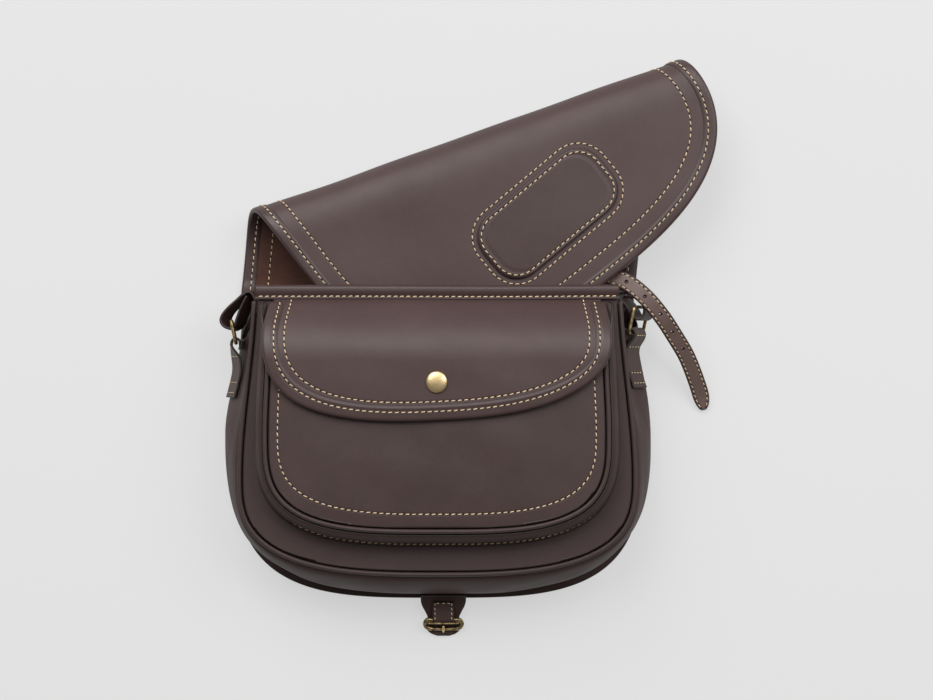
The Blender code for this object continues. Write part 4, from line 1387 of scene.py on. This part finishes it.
@dataclass
class Pocket:
    """The pocket on the front: its front, piping, gusset, flap, the flap's binding and the snap.

    The snap's foot is the profile under its cap: radius, and depth below the flap's inner face.
    """

    piping_radius: float = 1.6
    piping_gap: float = 0.6
    piping_z: float = 84.5
    flange_z: float = 61.5
    seam_top: float = 66.0
    band: float = 8.8
    band_seam: float = 5.0
    band_top: float = 101.2
    inner_seam_top: float = 105.0
    snap_y: float = 45.4
    snap_radius: float = 7.6
    snap_clear: float = 0.1
    snap_rim: float = 0.9
    snap_dome: float = 1.9
    snap_roll: float = 0.12
    snap_drop: float = 0.85
    snap_foot: Sequence[Flat] = ((2.0, 0.0), (4.6, 0.0), (4.6, 1.4), (0.3, 1.4))
    front: PocketFront = PocketFront(Ripple(21, 0.35, 46.0))
    flap: PocketFlapFace = PocketFlapFace(Ripple(23, 0.3, 52.0))

    def build(self, finishes: Finishes) -> None:
        """Builds the pocket's pieces and their stitches."""
        sewing = Stitching()
        flat = coons_grid(POCKET_EDGE.dense(), 130, 80)
        marks = seam_marks(nearest(flat, POCKET_EDGE.points(800)))
        marks["seam_a"] = nearest(flat, POCKET_SEAM.points(800))
        shell = sheet_on(self.front.at, flat, THIN_LEATHER, marks)
        made = make_object("pocket_front_leather", [shell], finishes.body)
        place(made, Slot.BODY, "pocket_front")
        seam = POCKET_SEAM.points(900, below=self.seam_top)
        sewing.on_face(self.front.at, seam, THIN_LEATHER / 2)
        route = POCKET_EDGE.grown(self.piping_radius + self.piping_gap).points(420)
        piping_cord("pocket_piping_cord", "pocket_piping", route, self.piping_z,
                    self.piping_radius, finishes)
        gusset = Gusset("pocket_gusset_wall", "pocket_gusset", POCKET_GUSSET, 360, 26,
                        Ripple(31, 0.2, 44.0))
        gusset.build(finishes)
        level = FlatFace(STILL, self.flange_z)
        sewing.on_face(level.at, POCKET_FLANGE_SEAM.points(600), THIN_LEATHER / 2)
        self.flap_pieces(finishes, sewing)
        self.snap(finishes)
        sewing.finish("pocket_stitches", finishes)

    def flap_pieces(self, finishes: Finishes, sewing: Stitching) -> None:
        """The pocket's flap, its binding and their two lines of stitches."""
        flat = coons_grid(POCKET_FLAP_EDGE.dense(), 150, 84)
        marks = seam_marks(nearest(flat, POCKET_FLAP_EDGE.points(800)))
        marks["seam_a"] = nearest(flat, FLAP_INNER_SEAM.points(800))
        shell = sheet_on(self.flap.at, flat, THIN_LEATHER, marks)
        made = make_object("pocket_flap_leather", [shell], finishes.flap)
        place(made, Slot.FLAP, "pocket_flap")
        edge = POCKET_FLAP_EDGE.points(340, below=self.band_top)
        binding = Binding(THIN_LEATHER, self.band)
        strip = binding.shell(self.flap.at, edge, self.band_seam)
        made = make_object("pocket_flap_edge_binding", [strip], finishes.lined)
        place(made, Slot.TRIM, "pocket_flap_binding")
        outer = FLAP_BAND_SEAM.points(400, below=self.band_top)
        sewing.on_face(self.flap.at, outer, binding.lifts()[1])
        inner = FLAP_INNER_SEAM.points(400, below=self.inner_seam_top)
        sewing.on_face(self.flap.at, inner, THIN_LEATHER / 2)

    def snap(self, finishes: Finishes) -> None:
        """The snap: a satin cap that is half an ellipse, a rim rolled by a sine, post and base."""
        above = THIN_LEATHER / 2 + self.snap_clear
        brim = above + self.snap_rim
        angle = np.linspace(0.02, math.pi / 2, 22)
        cap = np.column_stack([self.snap_radius * np.sin(angle),
                               brim + self.snap_dome * np.cos(angle)])
        share = np.linspace(0, 1, 9)[1:]
        lip = np.column_stack([self.snap_radius + self.snap_roll * np.sin(math.pi * share),
                               brim - self.snap_drop * share])
        foot = np.array(self.snap_foot) * (1, -1) - (0, above)
        neck = [(foot[0, 0], above)]
        centre = self.flap.at(np.array(0.0), np.array(self.snap_y), 0.0)
        shell = turned(np.vstack([cap, lip, neck, foot]), centre, UP, 48)
        place(make_object("snap_cap", [shell], finishes.cap), Slot.BRASS, "pocket_snap")


# The main flap


@dataclass
class FoldedFlap:
    """The flap as one sheet, bent once along a slanting fold so that its tip lies to the right.

    Across the fold the leather turns by pi t - sin(2 pi t) / 2 at share t of the bend.
    """

    low_z: float = 3.3
    rise: float = 39.4
    angle: float = math.radians(19.3)
    start: Flat = (-119.2, 133.2)
    lean: float = 0.10
    band: float = 7.6
    band_seam: float = 4.3
    inner_seam: float = 17.0
    bound_from: float = -6.0
    root_rise: float = 0.9
    root_reach: float = 8.0
    calm_reach: float = 60.0
    patch_spot: Flat = (24.3, 326.6)
    patch_size: Point = (54.7, 26.7, 19.7)
    patch_turn: float = math.radians(1.2)
    patch_thick: float = 1.5
    patch_clear: float = 0.05
    patch_seam: float = 2.7
    patch_outer_seam: float = 3.8
    ripple: Ripple = Ripple(41, 0.5, 90.0)

    def __post_init__(self) -> None:
        """Works out the bend's profile by summing small steps."""
        share = np.linspace(0, 1, 1041)
        turn = math.pi * share - 0.5 * np.sin(2 * math.pi * share)
        rise, run = (np.concatenate([[0], np.cumsum((way[1:] + way[:-1]) / 2 * share[1])])
                     for way in (np.sin(turn), np.cos(turn)))
        self.length = self.rise / rise[-1]
        self.profile = (share * self.length, run * self.length, rise * self.length, turn)
        self.axis = np.array([math.cos(self.angle), math.sin(self.angle)])
        self.across = np.array([-math.sin(self.angle), math.cos(self.angle)])

    def at(self, x: Array, y: Array, lift: Array | float) -> Array:
        """Where flat points lie once folded, lifted towards the leather's flesh side."""
        offset = np.stack([x, y], axis=-1) - np.array(self.start)
        along = offset @ self.axis
        over = offset @ self.across
        stations, runs, rises, turns = self.profile
        inside = np.clip(over, 0, self.length)
        turn = np.interp(inside, stations, turns)
        run = np.interp(inside, stations, runs)
        run = run + np.minimum(over, 0) - np.maximum(over - self.length, 0)
        height = np.interp(inside, stations, rises)
        at_root = smoothstep((MOUTH_Y + self.root_reach - y) / self.root_reach)
        height = height + self.root_rise * at_root
        lifted = lift + self.ripple.at(x, y) * smoothstep(over / self.calm_reach)
        run = run - np.sin(turn) * lifted
        height = height + np.cos(turn) * lifted
        flat = np.array(self.start) + along[..., None] * self.axis + run[..., None] * self.across
        return np.concatenate([flat, (self.low_z + height)[..., None]], axis=-1)

    def flat_edge(self, below: float | None = None) -> Array:
        """The flat edge, from the root on the right, round the tip, to the root on the left."""
        edge = FLAP_EDGE.dense()
        flat = np.column_stack([-edge[:, 0] - self.lean * edge[:, 1], MOUTH_Y - edge[:, 1]])
        return flat if below is None else flat[flat[:, 1] > below]

    def build(self, finishes: Finishes) -> None:
        """Builds the flap, its binding, the blank patch and their stitches."""
        sewing = Stitching()
        flat = coons_grid(self.flat_edge(), 176, 164)
        marks = seam_marks(nearest(flat, even_points(self.flat_edge(), 1600)), self.inner_seam)
        shell = sheet_on(self.at, flat, LEATHER, marks, outside=-1.0)
        place(make_object("flap_leather_sheet", [shell], finishes.flap), Slot.FLAP, "flap")
        edge = even_points(self.flat_edge(MOUTH_Y + self.bound_from), 560)
        binding = Binding(LEATHER, self.band)
        strip = binding.shell(self.at, edge, self.band_seam)
        made = make_object("flap_edge_binding", [strip], finishes.lined)
        place(made, Slot.TRIM, "flap_binding")
        outer = binding.lifts()[1]
        for depth, lift in ((self.band_seam, outer), (self.inner_seam, LEATHER / 2)):
            line = inset(edge, depth)
            sewing.on_face(self.at, line, -lift)
            sewing.on_face(self.at, line, lift)
        self.patch(finishes, sewing)
        sewing.finish("flap_stitches", finishes)

    def on_flap(self, outline: Array) -> Array:
        """Flat places of points that are given along and beside the patch.

        The patch's direction is mirrored in the fold, as the leather past it lies upside down.
        """
        heading = 2 * self.angle + self.patch_turn
        along = np.array([math.cos(heading), math.sin(heading)])
        beside = np.array([-along[1], along[0]])
        flat_along = 2 * (along @ self.axis) * self.axis - along
        flat_beside = 2 * (beside @ self.axis) * self.axis - beside
        spot = np.array(self.patch_spot)
        return spot + outline[..., :1] * flat_along + outline[..., 1:] * flat_beside

    def patch(self, finishes: Finishes, sewing: Stitching) -> None:
        """The blank patch sewn to the flap's outer face, with a second line round it."""
        corners = rounded_rectangle(*self.patch_size)
        outline = even_points(np.vstack([corners, corners[:1]]), 241)[:-1]
        share = np.linspace(0.0, 1.0, 22)[1:, None, None]
        low = -(LEATHER / 2 + self.patch_clear)
        high = low - self.patch_thick
        shell = self.plate(self.on_flap(outline[None] * share), low, high)
        place(make_object("blank_patch", [shell], finishes.lined), Slot.FLAP, "flap_patch")
        for by, height in ((-self.patch_seam, high), (self.patch_outer_seam, -LEATHER / 2)):
            ring = rounded_rectangle(*(size + by for size in self.patch_size), steps=14)
            sewing.on_face(self.at, self.on_flap(np.vstack([ring, ring[:1]])), height)

    def plate(self, grid: Array, low: float, high: float) -> Shell:
        """A thin plate between two lifts, from rings that grow outwards."""
        rings, count = grid.shape[:2]
        upper = self.at(grid[..., 0], grid[..., 1], high)
        lower = self.at(grid[::-1, :, 0], grid[::-1, :, 1], low)
        falling = np.linspace(self.patch_size[1], 0, rings)
        depth = np.repeat(np.concatenate([falling, falling[::-1]])[:, None], count, axis=1)
        marks = {"edge": depth, "seam_a": depth - self.patch_seam}
        return wrapped(np.concatenate([upper, lower]), marks=marks)


# Straps and side fittings


# A strap's outer columns lie this share of its thickness inside its edges, and at least this
# far from its middle
STRAP_SHOULDER = 0.72
STRAP_LEAST = 0.12


def ribbon(path: Array, across: Array, half: Array, thickness: float, columns: int = 9,
           seam: float | None = None) -> Shell:
    """A flat strap: a grid across its width at each point of its path.

    Args:
        path: The middle line.
        across: The direction of the width at each point.
        half: Half the width at each point.
        thickness: The strap's thickness.
        columns: Points across the width.
        seam: Depth of the stitch lines from either edge, if it has them.

    Returns:
        The closed strap.
    """
    across = unit(across)
    normal = unit(np.cross(unit(np.gradient(path, axis=0)), across))
    flat = np.maximum(half - STRAP_SHOULDER * thickness, STRAP_LEAST)[:, None]
    offset = np.hstack([-half[:, None], flat * np.linspace(-1, 1, columns - 2), half[:, None]])
    middle = path[:, None] + across[:, None] * offset[..., None]
    lift = normal[:, None] * thickness / 2
    marks = seam_marks(half[:, None] - np.abs(offset), seam)
    return leaf(middle + lift, middle - lift, marks, (Skin.GRAIN, Skin.GRAIN, Skin.EDGE))


@dataclass
class ClosingStrap:
    """The flap's strap: lined, sewn along both edges, pointed, with five punched holes.

    Towards its point the half width falls as the root of 1 less a share raised to a power. A
    hole's shape is its radius at heights over the strap's middle.
    """

    width: float = 12.6
    thick: float = 2.0
    point_length: float = 15.0
    point_depth: float = 0.93
    point_power: float = 2.2
    seam: float = 1.9
    seam_end: float = 2.0
    holes: int = 5
    first_hole: float = 41.5
    hole_pitch: float = 17.4
    hole_shape: Sequence[Flat] = ((0.3, -3.0), (0.5, -0.9), (1.3, 1.0), (1.3, 3.0))
    route: Sequence[Point] = (
        (99.5, 131.5, 40.2),
        (108.0, 128.8, 38.8),
        (117.0, 125.8, 38.2),
        (128.5, 121.3, 38.3),
        (138.7, 116.8, 42.6),
        (151.8, 105.6, 46.4),
        (163.6, 91.9, 42.6),
        (174.0, 77.4, 33.4),
        (183.2, 63.4, 23.2),
        (190.6, 47.6, 12.8),
        (195.6, 34.4, 5.4),
        (198.4, 23.2, 1.9),
    )

    def build(self, finishes: Finishes) -> None:
        """Builds the strap, cuts its holes and sews it."""
        path = spline(np.array(self.route), 150)
        along = travelled(path)
        share = np.clip((along - (along[-1] - self.point_length)) / self.point_length, 0, 1)
        half = self.width / 2 * np.sqrt(1 - self.point_depth * share**self.point_power)
        _, across, off = cross_frames(path, UP)
        shell = ribbon(path, across, half, self.thick, 9, self.seam)
        # The strap takes the much lighter closing leather: painted light on its top face.
        strap = make_object("closing_strap_leather", [shell], finishes.closing)
        at = self.first_hole + self.hole_pitch * np.arange(self.holes)
        profile = np.array(self.hole_shape)
        cutters = [turned(profile, centre, axis, 20, skin=Skin.EDGE.value)
                   for centre, axis in zip(sample(path, along, at), unit(sample(off, along, at)))]
        self.punch(strap, cutters, finishes)
        place(strap, Slot.STRAP, "closing_strap")
        sewing = Stitching(long=3.0, pitch=4.2, radius=0.33)
        rows = along < along[-1] - self.seam_end
        inner = np.maximum(half - self.seam, 0.5)
        for sign in (-1, 1):
            line = path + across * (sign * inner)[:, None]
            for face in (-1, 1):
                sewing.run((line + off * face * self.thick / 2)[rows], off[rows] * face)
        sewing.finish("closing_strap_stitches", finishes)

    @staticmethod
    def punch(strap: bpy.types.Object, cutters: Sequence[Shell], finishes: Finishes) -> None:
        """Cuts the holes with one Boolean whose result becomes the strap's mesh."""
        cutter = make_object("strap_punch", cutters, finishes.closing)
        cut = strap.modifiers.new("holes", "BOOLEAN")
        cut.operation = "DIFFERENCE"
        cut.object = cutter
        evaluated = strap.evaluated_get(bpy.context.evaluated_depsgraph_get())
        mesh = bpy.data.meshes.new_from_object(evaluated)
        strap.modifiers.remove(cut)
        strap.data = mesh
        bpy.data.objects.remove(cutter)


@dataclass
class ShoulderStrap:
    """The shoulder strap: looped through both rings and stowed on edge round the inside.

    It stands on edge and leans as the wall beside it does, with its lower edge further out.
    """

    width: float = 20.0
    thick: float = 2.0
    level: float = 32.0
    stowed_lean: float = math.radians(14.0)
    loop_leans: Flat = (math.radians(-17.0), math.radians(27.0))
    loop_from: float = 70.0
    loop_full: float = 90.0
    stowed: Outline = Outline(126.8, 146.6, 86.0, -101.0, 3.0)
    left: Sequence[Flat] = (
        (-136.6, 107.6),
        (-138.8, 103.2),
        (-141.4, 97.6),
        (-143.6, 91.6),
        (-146.0, 85.6),
        (-150.0, 83.2),
        (-154.0, 85.0),
        (-155.6, 89.6),
        (-154.0, 94.2),
        (-149.6, 99.4),
        (-144.2, 104.2),
        (-139.4, 108.4),
        (-134.6, 110.2),
        (-130.6, 104.4),
    )
    right: Sequence[Flat] = (
        (136.6, 105.4),
        (140.2, 102.0),
        (143.4, 97.4),
        (146.0, 92.8),
        (149.8, 90.4),
        (153.6, 92.8),
        (154.8, 97.8),
        (153.2, 103.0),
        (148.8, 107.2),
        (142.8, 109.6),
        (136.4, 110.4),
        (131.6, 108.0),
        (129.6, 102.0),
    )

    def build(self, finishes: Finishes) -> None:
        """Builds the strap."""
        inside = self.stowed.points(22)
        flat = spline(np.vstack([self.left, inside, self.right[::-1]]), 620)
        way_in = inward(flat)
        share = (flat[:, 1:] - self.loop_from) / (self.loop_full - self.loop_from)
        loop = smoothstep(share)
        looped = np.where(flat[:, :1] < 0, *self.loop_leans)
        lean = self.stowed_lean + (looped - self.stowed_lean) * loop
        sideways = np.column_stack([np.sign(flat[:, 0]), np.zeros(len(flat))])
        outward = unit(-way_in * (1 - loop) + sideways * loop)
        across = np.column_stack([outward * np.sin(lean), -np.cos(lean)])
        path = np.column_stack([flat, np.full(len(flat), self.level)])
        half = np.full(len(path), self.width / 2)
        shell = ribbon(path, across, half, self.thick, 11)
        made = make_object("shoulder_strap_leather", [shell], finishes.straps)
        place(made, Slot.STRAP, "shoulder_strap")


@dataclass
class SideFittings:
    """A ring on each side and the tab that is sewn to the gusset and folded round its low bar.

    The tab's line gives the way down from the low bar and the height over the gusset; its rows
    of stitches lie at ways down from the bar. Leans are the left side's and the right side's.
    """

    wire: float = 1.25
    ring_tall: float = 27.0
    ring_corner: float = 2.6
    ring_leans: Flat = (math.radians(5.0), math.radians(27.0))
    tab_leans: Flat = (math.radians(23.5), math.radians(33.0))
    level: float = 32.0
    tab_width: float = 20.0
    bar_off: float = 5.2
    tab_free: float = 12.0
    seam_rows: Sequence[float] = (1.6, 9.8, 29.0, 36.5)
    seam_margin: float = 1.6
    seam_drop: float = 0.3
    line: Sequence[Flat] = (
        (40.0, 2.45),
        (30.0, 2.5),
        (20.0, 3.1),
        (11.0, 5.6),
        (4.5, 7.9),
        (0.0, 8.4),
        (-2.4, 7.5),
        (-3.3, 5.2),
        (-2.2, 3.0),
        (0.0, 2.2),
        (5.0, 2.1),
    )
    left_bars: tuple[Flat, Flat] = ((-148.0, 73.1), (-151.2, 89.1))
    right_bars: tuple[Flat, Flat] = ((145.0, 80.3), (149.2, 99.4))

    def build(self, finishes: Finishes) -> None:
        """Builds both sides."""
        sewing = Stitching(long=2.6, pitch=3.6, radius=0.34)
        sides = ((Side.LEFT, self.left_bars), (Side.RIGHT, self.right_bars))
        for (side, bars), *leans in zip(sides, self.ring_leans, self.tab_leans):
            self.ring(side, bars, leans[0], finishes)
            self.tab(side, bars[0], leans, finishes, sewing)
        sewing.finish("tab_stitches", finishes)

    def ring(self, side: Side, bars: tuple[Flat, Flat], lean: float, finishes: Finishes) -> None:
        """A wire ring with rounded corners, seen edge-on from above."""
        low = np.array([*bars[0], self.level])
        top = np.array([*bars[1], self.level])
        up = unit(top - low)
        width = np.array([side.value * math.sin(lean), 0.0, -math.cos(lean)])
        reach = float(np.linalg.norm(top - low))
        flat = rounded_rectangle(self.ring_tall / 2, reach / 2, self.ring_corner, steps=10)
        flat = even_points(np.vstack([flat, flat[:1]]), 161)[:-1]
        path = (low + top) / 2 + flat[:, :1] * width + flat[:, 1:] * up
        shell = tube(path, self.wire, 16, up=unit(np.cross(width, up)), loop=True)
        name = side.name.lower()
        made = make_object(f"side_ring_{name}", [shell], finishes.hardware)
        place(made, Slot.BRASS, f"ring_{name}")

    def wall(self, side: Side) -> Array:
        """The gusset's outline at the tab's level, on one side, from low to high."""
        levels = np.array([row[0] for row in MAIN_GUSSET])
        below = int(np.argmax(levels < self.level))
        share = (levels[below - 1] - self.level) / (levels[below - 1] - levels[below])
        upper, lower = (gusset_section(row, 400) for row in MAIN_GUSSET[below - 1:below + 1])
        wall = upper * (1 - share) + lower * share
        wall = wall[(wall[:, 0] * side.value > 0) & (wall[:, 1] > WIDEST_Y)]
        return wall[np.argsort(wall[:, 1])]

    def tab(self, side: Side, low_bar: Flat, leans: Sequence[float],
            finishes: Finishes, sewing: Stitching) -> None:
        """The tab and its rows of stitches, square to it.

        Args:
            side: The end of the bag.
            low_bar: Where the ring's low bar lies, seen from above.
            leans: The lean at the ring and the lean where the tab is sewn down.
            finishes: The bag's materials.
            sewing: The stitching that takes the rows.
        """
        wall = self.wall(side)
        bar_x, bar_y = low_bar
        surface = THIN_LEATHER / 2
        at_bar = np.interp(bar_y, wall[:, 1], np.abs(wall[:, 0]))
        drift = abs(bar_x) - self.bar_off - surface - at_bar
        line = spline(np.array(self.line), 150)
        y = bar_y - line[:, 0]
        out = np.interp(y, wall[:, 1], np.abs(wall[:, 0])) + surface + line[:, 1]
        near = smoothstep(1 - line[:, 0] / self.tab_free)
        path = np.column_stack([side.value * (out + drift * near), y, np.full(len(y), self.level)])
        turn = leans[1] + (leans[0] - leans[1]) * near
        across = np.column_stack([side.value * np.sin(turn), np.zeros(len(y)), -np.cos(turn)])
        half = np.full(len(path), self.tab_width / 2)
        shell = ribbon(path, across, half, THIN_LEATHER, 9)
        name = side.name.lower()
        made = make_object(f"ring_tab_{name}_leather", [shell], finishes.straps)
        place(made, Slot.STRAP, f"ring_tab_{name}")
        normal = unit(np.cross(unit(np.gradient(path, axis=0)), across))
        if normal[5, 0] * side.value < 0:
            normal = -normal
        outer_leaf = line[:, 1] >= self.line[0][1] - self.seam_drop
        spread = np.linspace(-1, 1, 40)[:, None] * (self.tab_width / 2 - self.seam_margin)
        for row in self.seam_rows:
            pick = int(np.argmin(np.where(outer_leaf, np.abs(line[:, 0] - row), FAR)))
            spots = path[pick] + across[pick] * spread + normal[pick] * THIN_LEATHER / 2
            sewing.run(spots, np.tile(normal[pick], (40, 1)))


# The buckle


@dataclass
class Buckle:
    """The buckle under the bag: backing leather, chape, cast frame and prong, in a sloping plane.

    The guard's points are y, z and half width. The others lie in the plane: the chape's points
    are the way along it and the lift, and those of the frame and the prong x, way and lift.
    """

    across: float = 3.8
    tilt: float = math.radians(21.8)
    start: Flat = (-118.0, 10.3)
    chape_half: float = 7.8
    chape_thick: float = 1.6
    seam_margin: float = 1.6
    end_seam: Flat = (0.9, 0.25)
    frame_radius: float = 1.2
    corner_swell: float = 0.45
    corner_at: float = 11.5
    corner_reach: float = 2.6
    heel_half: float = 11.6
    heel_way: float = 15.3
    heel_lift: float = 7.7
    heel_sag: float = 0.4
    heel_radius: float = 0.62
    prong_radius: float = 0.95
    guard: Sequence[Point] = (
        (-113.7, 19.0, 16.7),
        (-113.8, 15.0, 16.8),
        (-114.9, 11.9, 16.8),
        (-118.0, 10.3, 16.9),
        (-122.0, 8.7, 16.0),
        (-126.5, 6.9, 13.8),
        (-131.0, 5.1, 11.9),
        (-135.0, 3.5, 12.6),
        (-138.5, 2.3, 13.2),
        (-141.5, 1.5, 12.0),
        (-144.0, 1.3, 9.0),
        (-145.6, 1.3, 4.6),
    )
    chape: Sequence[Flat] = (
        (0.0, 2.1),
        (5.0, 3.4),
        (10.0, 5.4),
        (13.2, 6.6),
        (15.4, 6.1),
        (16.5, 4.3),
        (15.6, 2.7),
        (13.4, 2.0),
        (9.0, 2.2),
    )
    frame_right: Sequence[Point] = (
        (9.6, 14.0, 4.3),
        (12.0, 14.4, 4.3),
        (13.6, 16.2, 4.1),
        (13.8, 18.6, 3.6),
        (12.4, 20.8, 3.2),
        (9.0, 22.2, 3.0),
    )
    frame_end: Point = (0.0, 22.8, 2.9)
    prong: Sequence[Point] = (
        (0.0, 18.2, 6.3),
        (0.0, 20.4, 5.9),
        (0.0, 22.4, 5.5),
        (0.0, 24.4, 4.8),
    )

    def at(self, x: Array | float, way: Array | float, lift: Array | float) -> Array:
        """Points in the buckle's plane: x across, the way along it and the lift off it."""
        slope, drop = math.cos(self.tilt), math.sin(self.tilt)
        plane = np.array([(1.0, 0.0, 0.0), (0.0, -slope, -drop), (0.0, -drop, slope)])
        spot = np.stack(np.broadcast_arrays(x, way, lift), axis=-1)
        return np.array([self.across, *self.start]) + spot @ plane

    def off(self) -> Array:
        """The direction off the buckle's plane."""
        return self.at(0.0, 0.0, 1.0) - self.at(0.0, 0.0, 0.0)

    def build(self, finishes: Finishes) -> None:
        """Builds the four pieces and the chape's stitches."""
        rows = spline(np.array(self.guard), 90)
        path = np.column_stack([np.full(len(rows), self.across), rows[:, :2]])
        self.leather("buckle_guard", path, rows[:, 2], THIN_LEATHER, 15, finishes)
        line = spline(np.array(self.chape), 70)
        path = self.at(0.0, line[:, 0], line[:, 1])
        half = np.full(len(line), self.chape_half)
        self.leather("buckle_chape", path, half, self.chape_thick, 9, finishes)
        self.frame(finishes)
        sewing = Stitching(long=2.4, pitch=3.3, radius=0.33)
        self.sew(sewing)
        sewing.finish("buckle_stitches", finishes)

    @staticmethod
    def leather(node: str, path: Array, half: Array, thickness: float, columns: int,
                finishes: Finishes) -> None:
        """Makes one of the two leathers, whose width lies level across the bag."""
        shell = ribbon(path, np.tile([1.0, 0.0, 0.0], (len(path), 1)), half, thickness, columns)
        place(make_object(f"{node}_leather", [shell], finishes.straps), Slot.STRAP, node)

    def sew(self, sewing: Stitching) -> None:
        """Three sides of stitches on the chape."""
        line = spline(np.array(self.chape[:4]), 60)
        normals = np.tile(self.off(), (len(line), 1))
        face = line[:, 1] + self.chape_thick / 2
        margin = self.chape_half - self.seam_margin
        way, lift = self.end_seam
        for x in (-margin, margin):
            sewing.run(self.at(x, line[:, 0], face), normals)
        sewing.run(self.at(np.linspace(-margin, margin, len(line)), way, face[0] + lift), normals)

    def frame(self, finishes: Finishes) -> None:
        """The cast frame with its heel bar, and the prong.

        The frame swells by a bell curve at its corners, the bar sags by a parabola, and the
        prong's radius falls as the root of 1 less the sixth power of the way along it.
        """
        right = np.array(self.frame_right)
        ring = np.vstack([right, [self.frame_end], right[::-1] * (-1, 1, 1)])
        closed = spline(np.vstack([ring, ring[:1]]), 181)[:-1]
        away = (np.abs(closed[:, 0]) - self.corner_at) / self.corner_reach
        swell = 1 + self.corner_swell * np.exp(-away**2)
        normal = self.off()
        shell = tube(self.at(*closed.T), self.frame_radius * swell, 18, up=normal, loop=True)
        share = np.linspace(-1.0, 1.0, 24)
        lift = self.heel_lift - self.heel_sag * share**2
        bar = self.at(self.heel_half * share, self.heel_way, lift)
        shells = [shell, tube(bar, self.heel_radius, 12, up=normal)]
        made = make_object("buckle_cast_frame", shells, finishes.hardware)
        place(made, Slot.BRASS, "buckle_frame")
        path = self.at(*spline(np.array(self.prong), 40).T)
        taper = np.sqrt(np.clip(1.02 - np.linspace(0, 1, len(path)) ** 6, 0.02, 1))
        shell = tube(path, self.prong_radius * taper, 14, up=normal)
        place(make_object("buckle_tongue", [shell], finishes.cap), Slot.BRASS, "buckle_prong")


# The studio


@dataclass
class Studio:
    """A pale floor, a large soft key light from the top left, a fill and the camera overhead."""

    camera_at: Point = (0.021, 0.068, 1.600)
    lens: float = 82.53
    sensor: float = 36.0
    floor_z: float = -0.0006
    floor_half: float = 6.0
    floor_lines: int = 25
    lit_spot: Point = (0.0, 0.05, 0.0)
    key_at: Point = (-0.95, 2.0, 2.4)
    key_power: float = 86.0
    key_size: float = 2.4
    fill_at: Point = (1.3, 1.1, 2.0)
    fill_power: float = 33.0
    fill_size: float = 1.6
    air_colour: Colour = (1.0, 0.985, 0.975)
    air_strength: float = 0.19

    def build(self, finishes: Finishes) -> None:
        """Adds the floor, lights, surroundings and camera."""
        self.floor(finishes)
        self.light("key_light", self.key_at, self.key_power, self.key_size)
        self.light("fill_light", self.fill_at, self.fill_power, self.fill_size)
        world = bpy.data.worlds.new("studio_air")
        world.use_nodes = True
        air = world.node_tree.nodes["Background"].inputs
        air["Color"].default_value = (*self.air_colour, 1.0)
        air["Strength"].default_value = self.air_strength
        bpy.context.scene.world = world
        bpy.context.scene.view_settings.view_transform = "Standard"
        self.camera()

    def floor(self, finishes: Finishes) -> None:
        """The floor as a shallow grid of quads."""
        line = np.linspace(-self.floor_half, self.floor_half, self.floor_lines) / MM
        x, y = np.meshgrid(line, line)
        z = np.full_like(x, self.floor_z / MM)
        points = np.stack([x, y, z], axis=-1).reshape(-1, 3)
        faces = grid_faces(self.floor_lines, self.floor_lines)
        shell = Shell(points, [faces], [np.zeros(len(faces), int)])
        floor = make_object("studio_floor", [shell], (finishes.paper,))

    def light(self, name: str, at: Point, power: float, size: float) -> None:
        """A square area light that faces the bag."""
        lamp = bpy.data.lights.new(name, "AREA")
        lamp.energy = power
        lamp.size = size
        made = bpy.data.objects.new(name, lamp)
        made.location = at
        toward = np.array(self.lit_spot) - np.array(at)
        yaw = math.atan2(toward[1], toward[0])
        pitch = math.atan2(float(np.hypot(toward[0], toward[1])), -toward[2])
        made.rotation_euler = (pitch, 0.0, yaw - math.pi / 2)
        bpy.context.scene.collection.objects.link(made)

    def camera(self) -> None:
        """The camera, straight above the bag with the photo's framing."""
        lens = bpy.data.cameras.new("overhead")
        lens.lens = self.lens
        lens.sensor_width = self.sensor
        made = bpy.data.objects.new("overhead", lens)
        made.location = self.camera_at
        bpy.context.scene.collection.objects.link(made)
        bpy.context.scene.camera = made


def main() -> None:
    """Loads the frame, builds each sub-assembly in order and notes the sizes."""
    logging.basicConfig(level=logging.INFO, format="%(message)s")
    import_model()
    finishes = Finishes()
    for part in (Studio(), Body(), Pocket(), FoldedFlap(), ClosingStrap(), ShoulderStrap(),
                 SideFittings(), Buckle()):
        LOG.info("building %s", type(part).__name__)
        part.build(finishes)


if __name__ == "__main__":
    main()
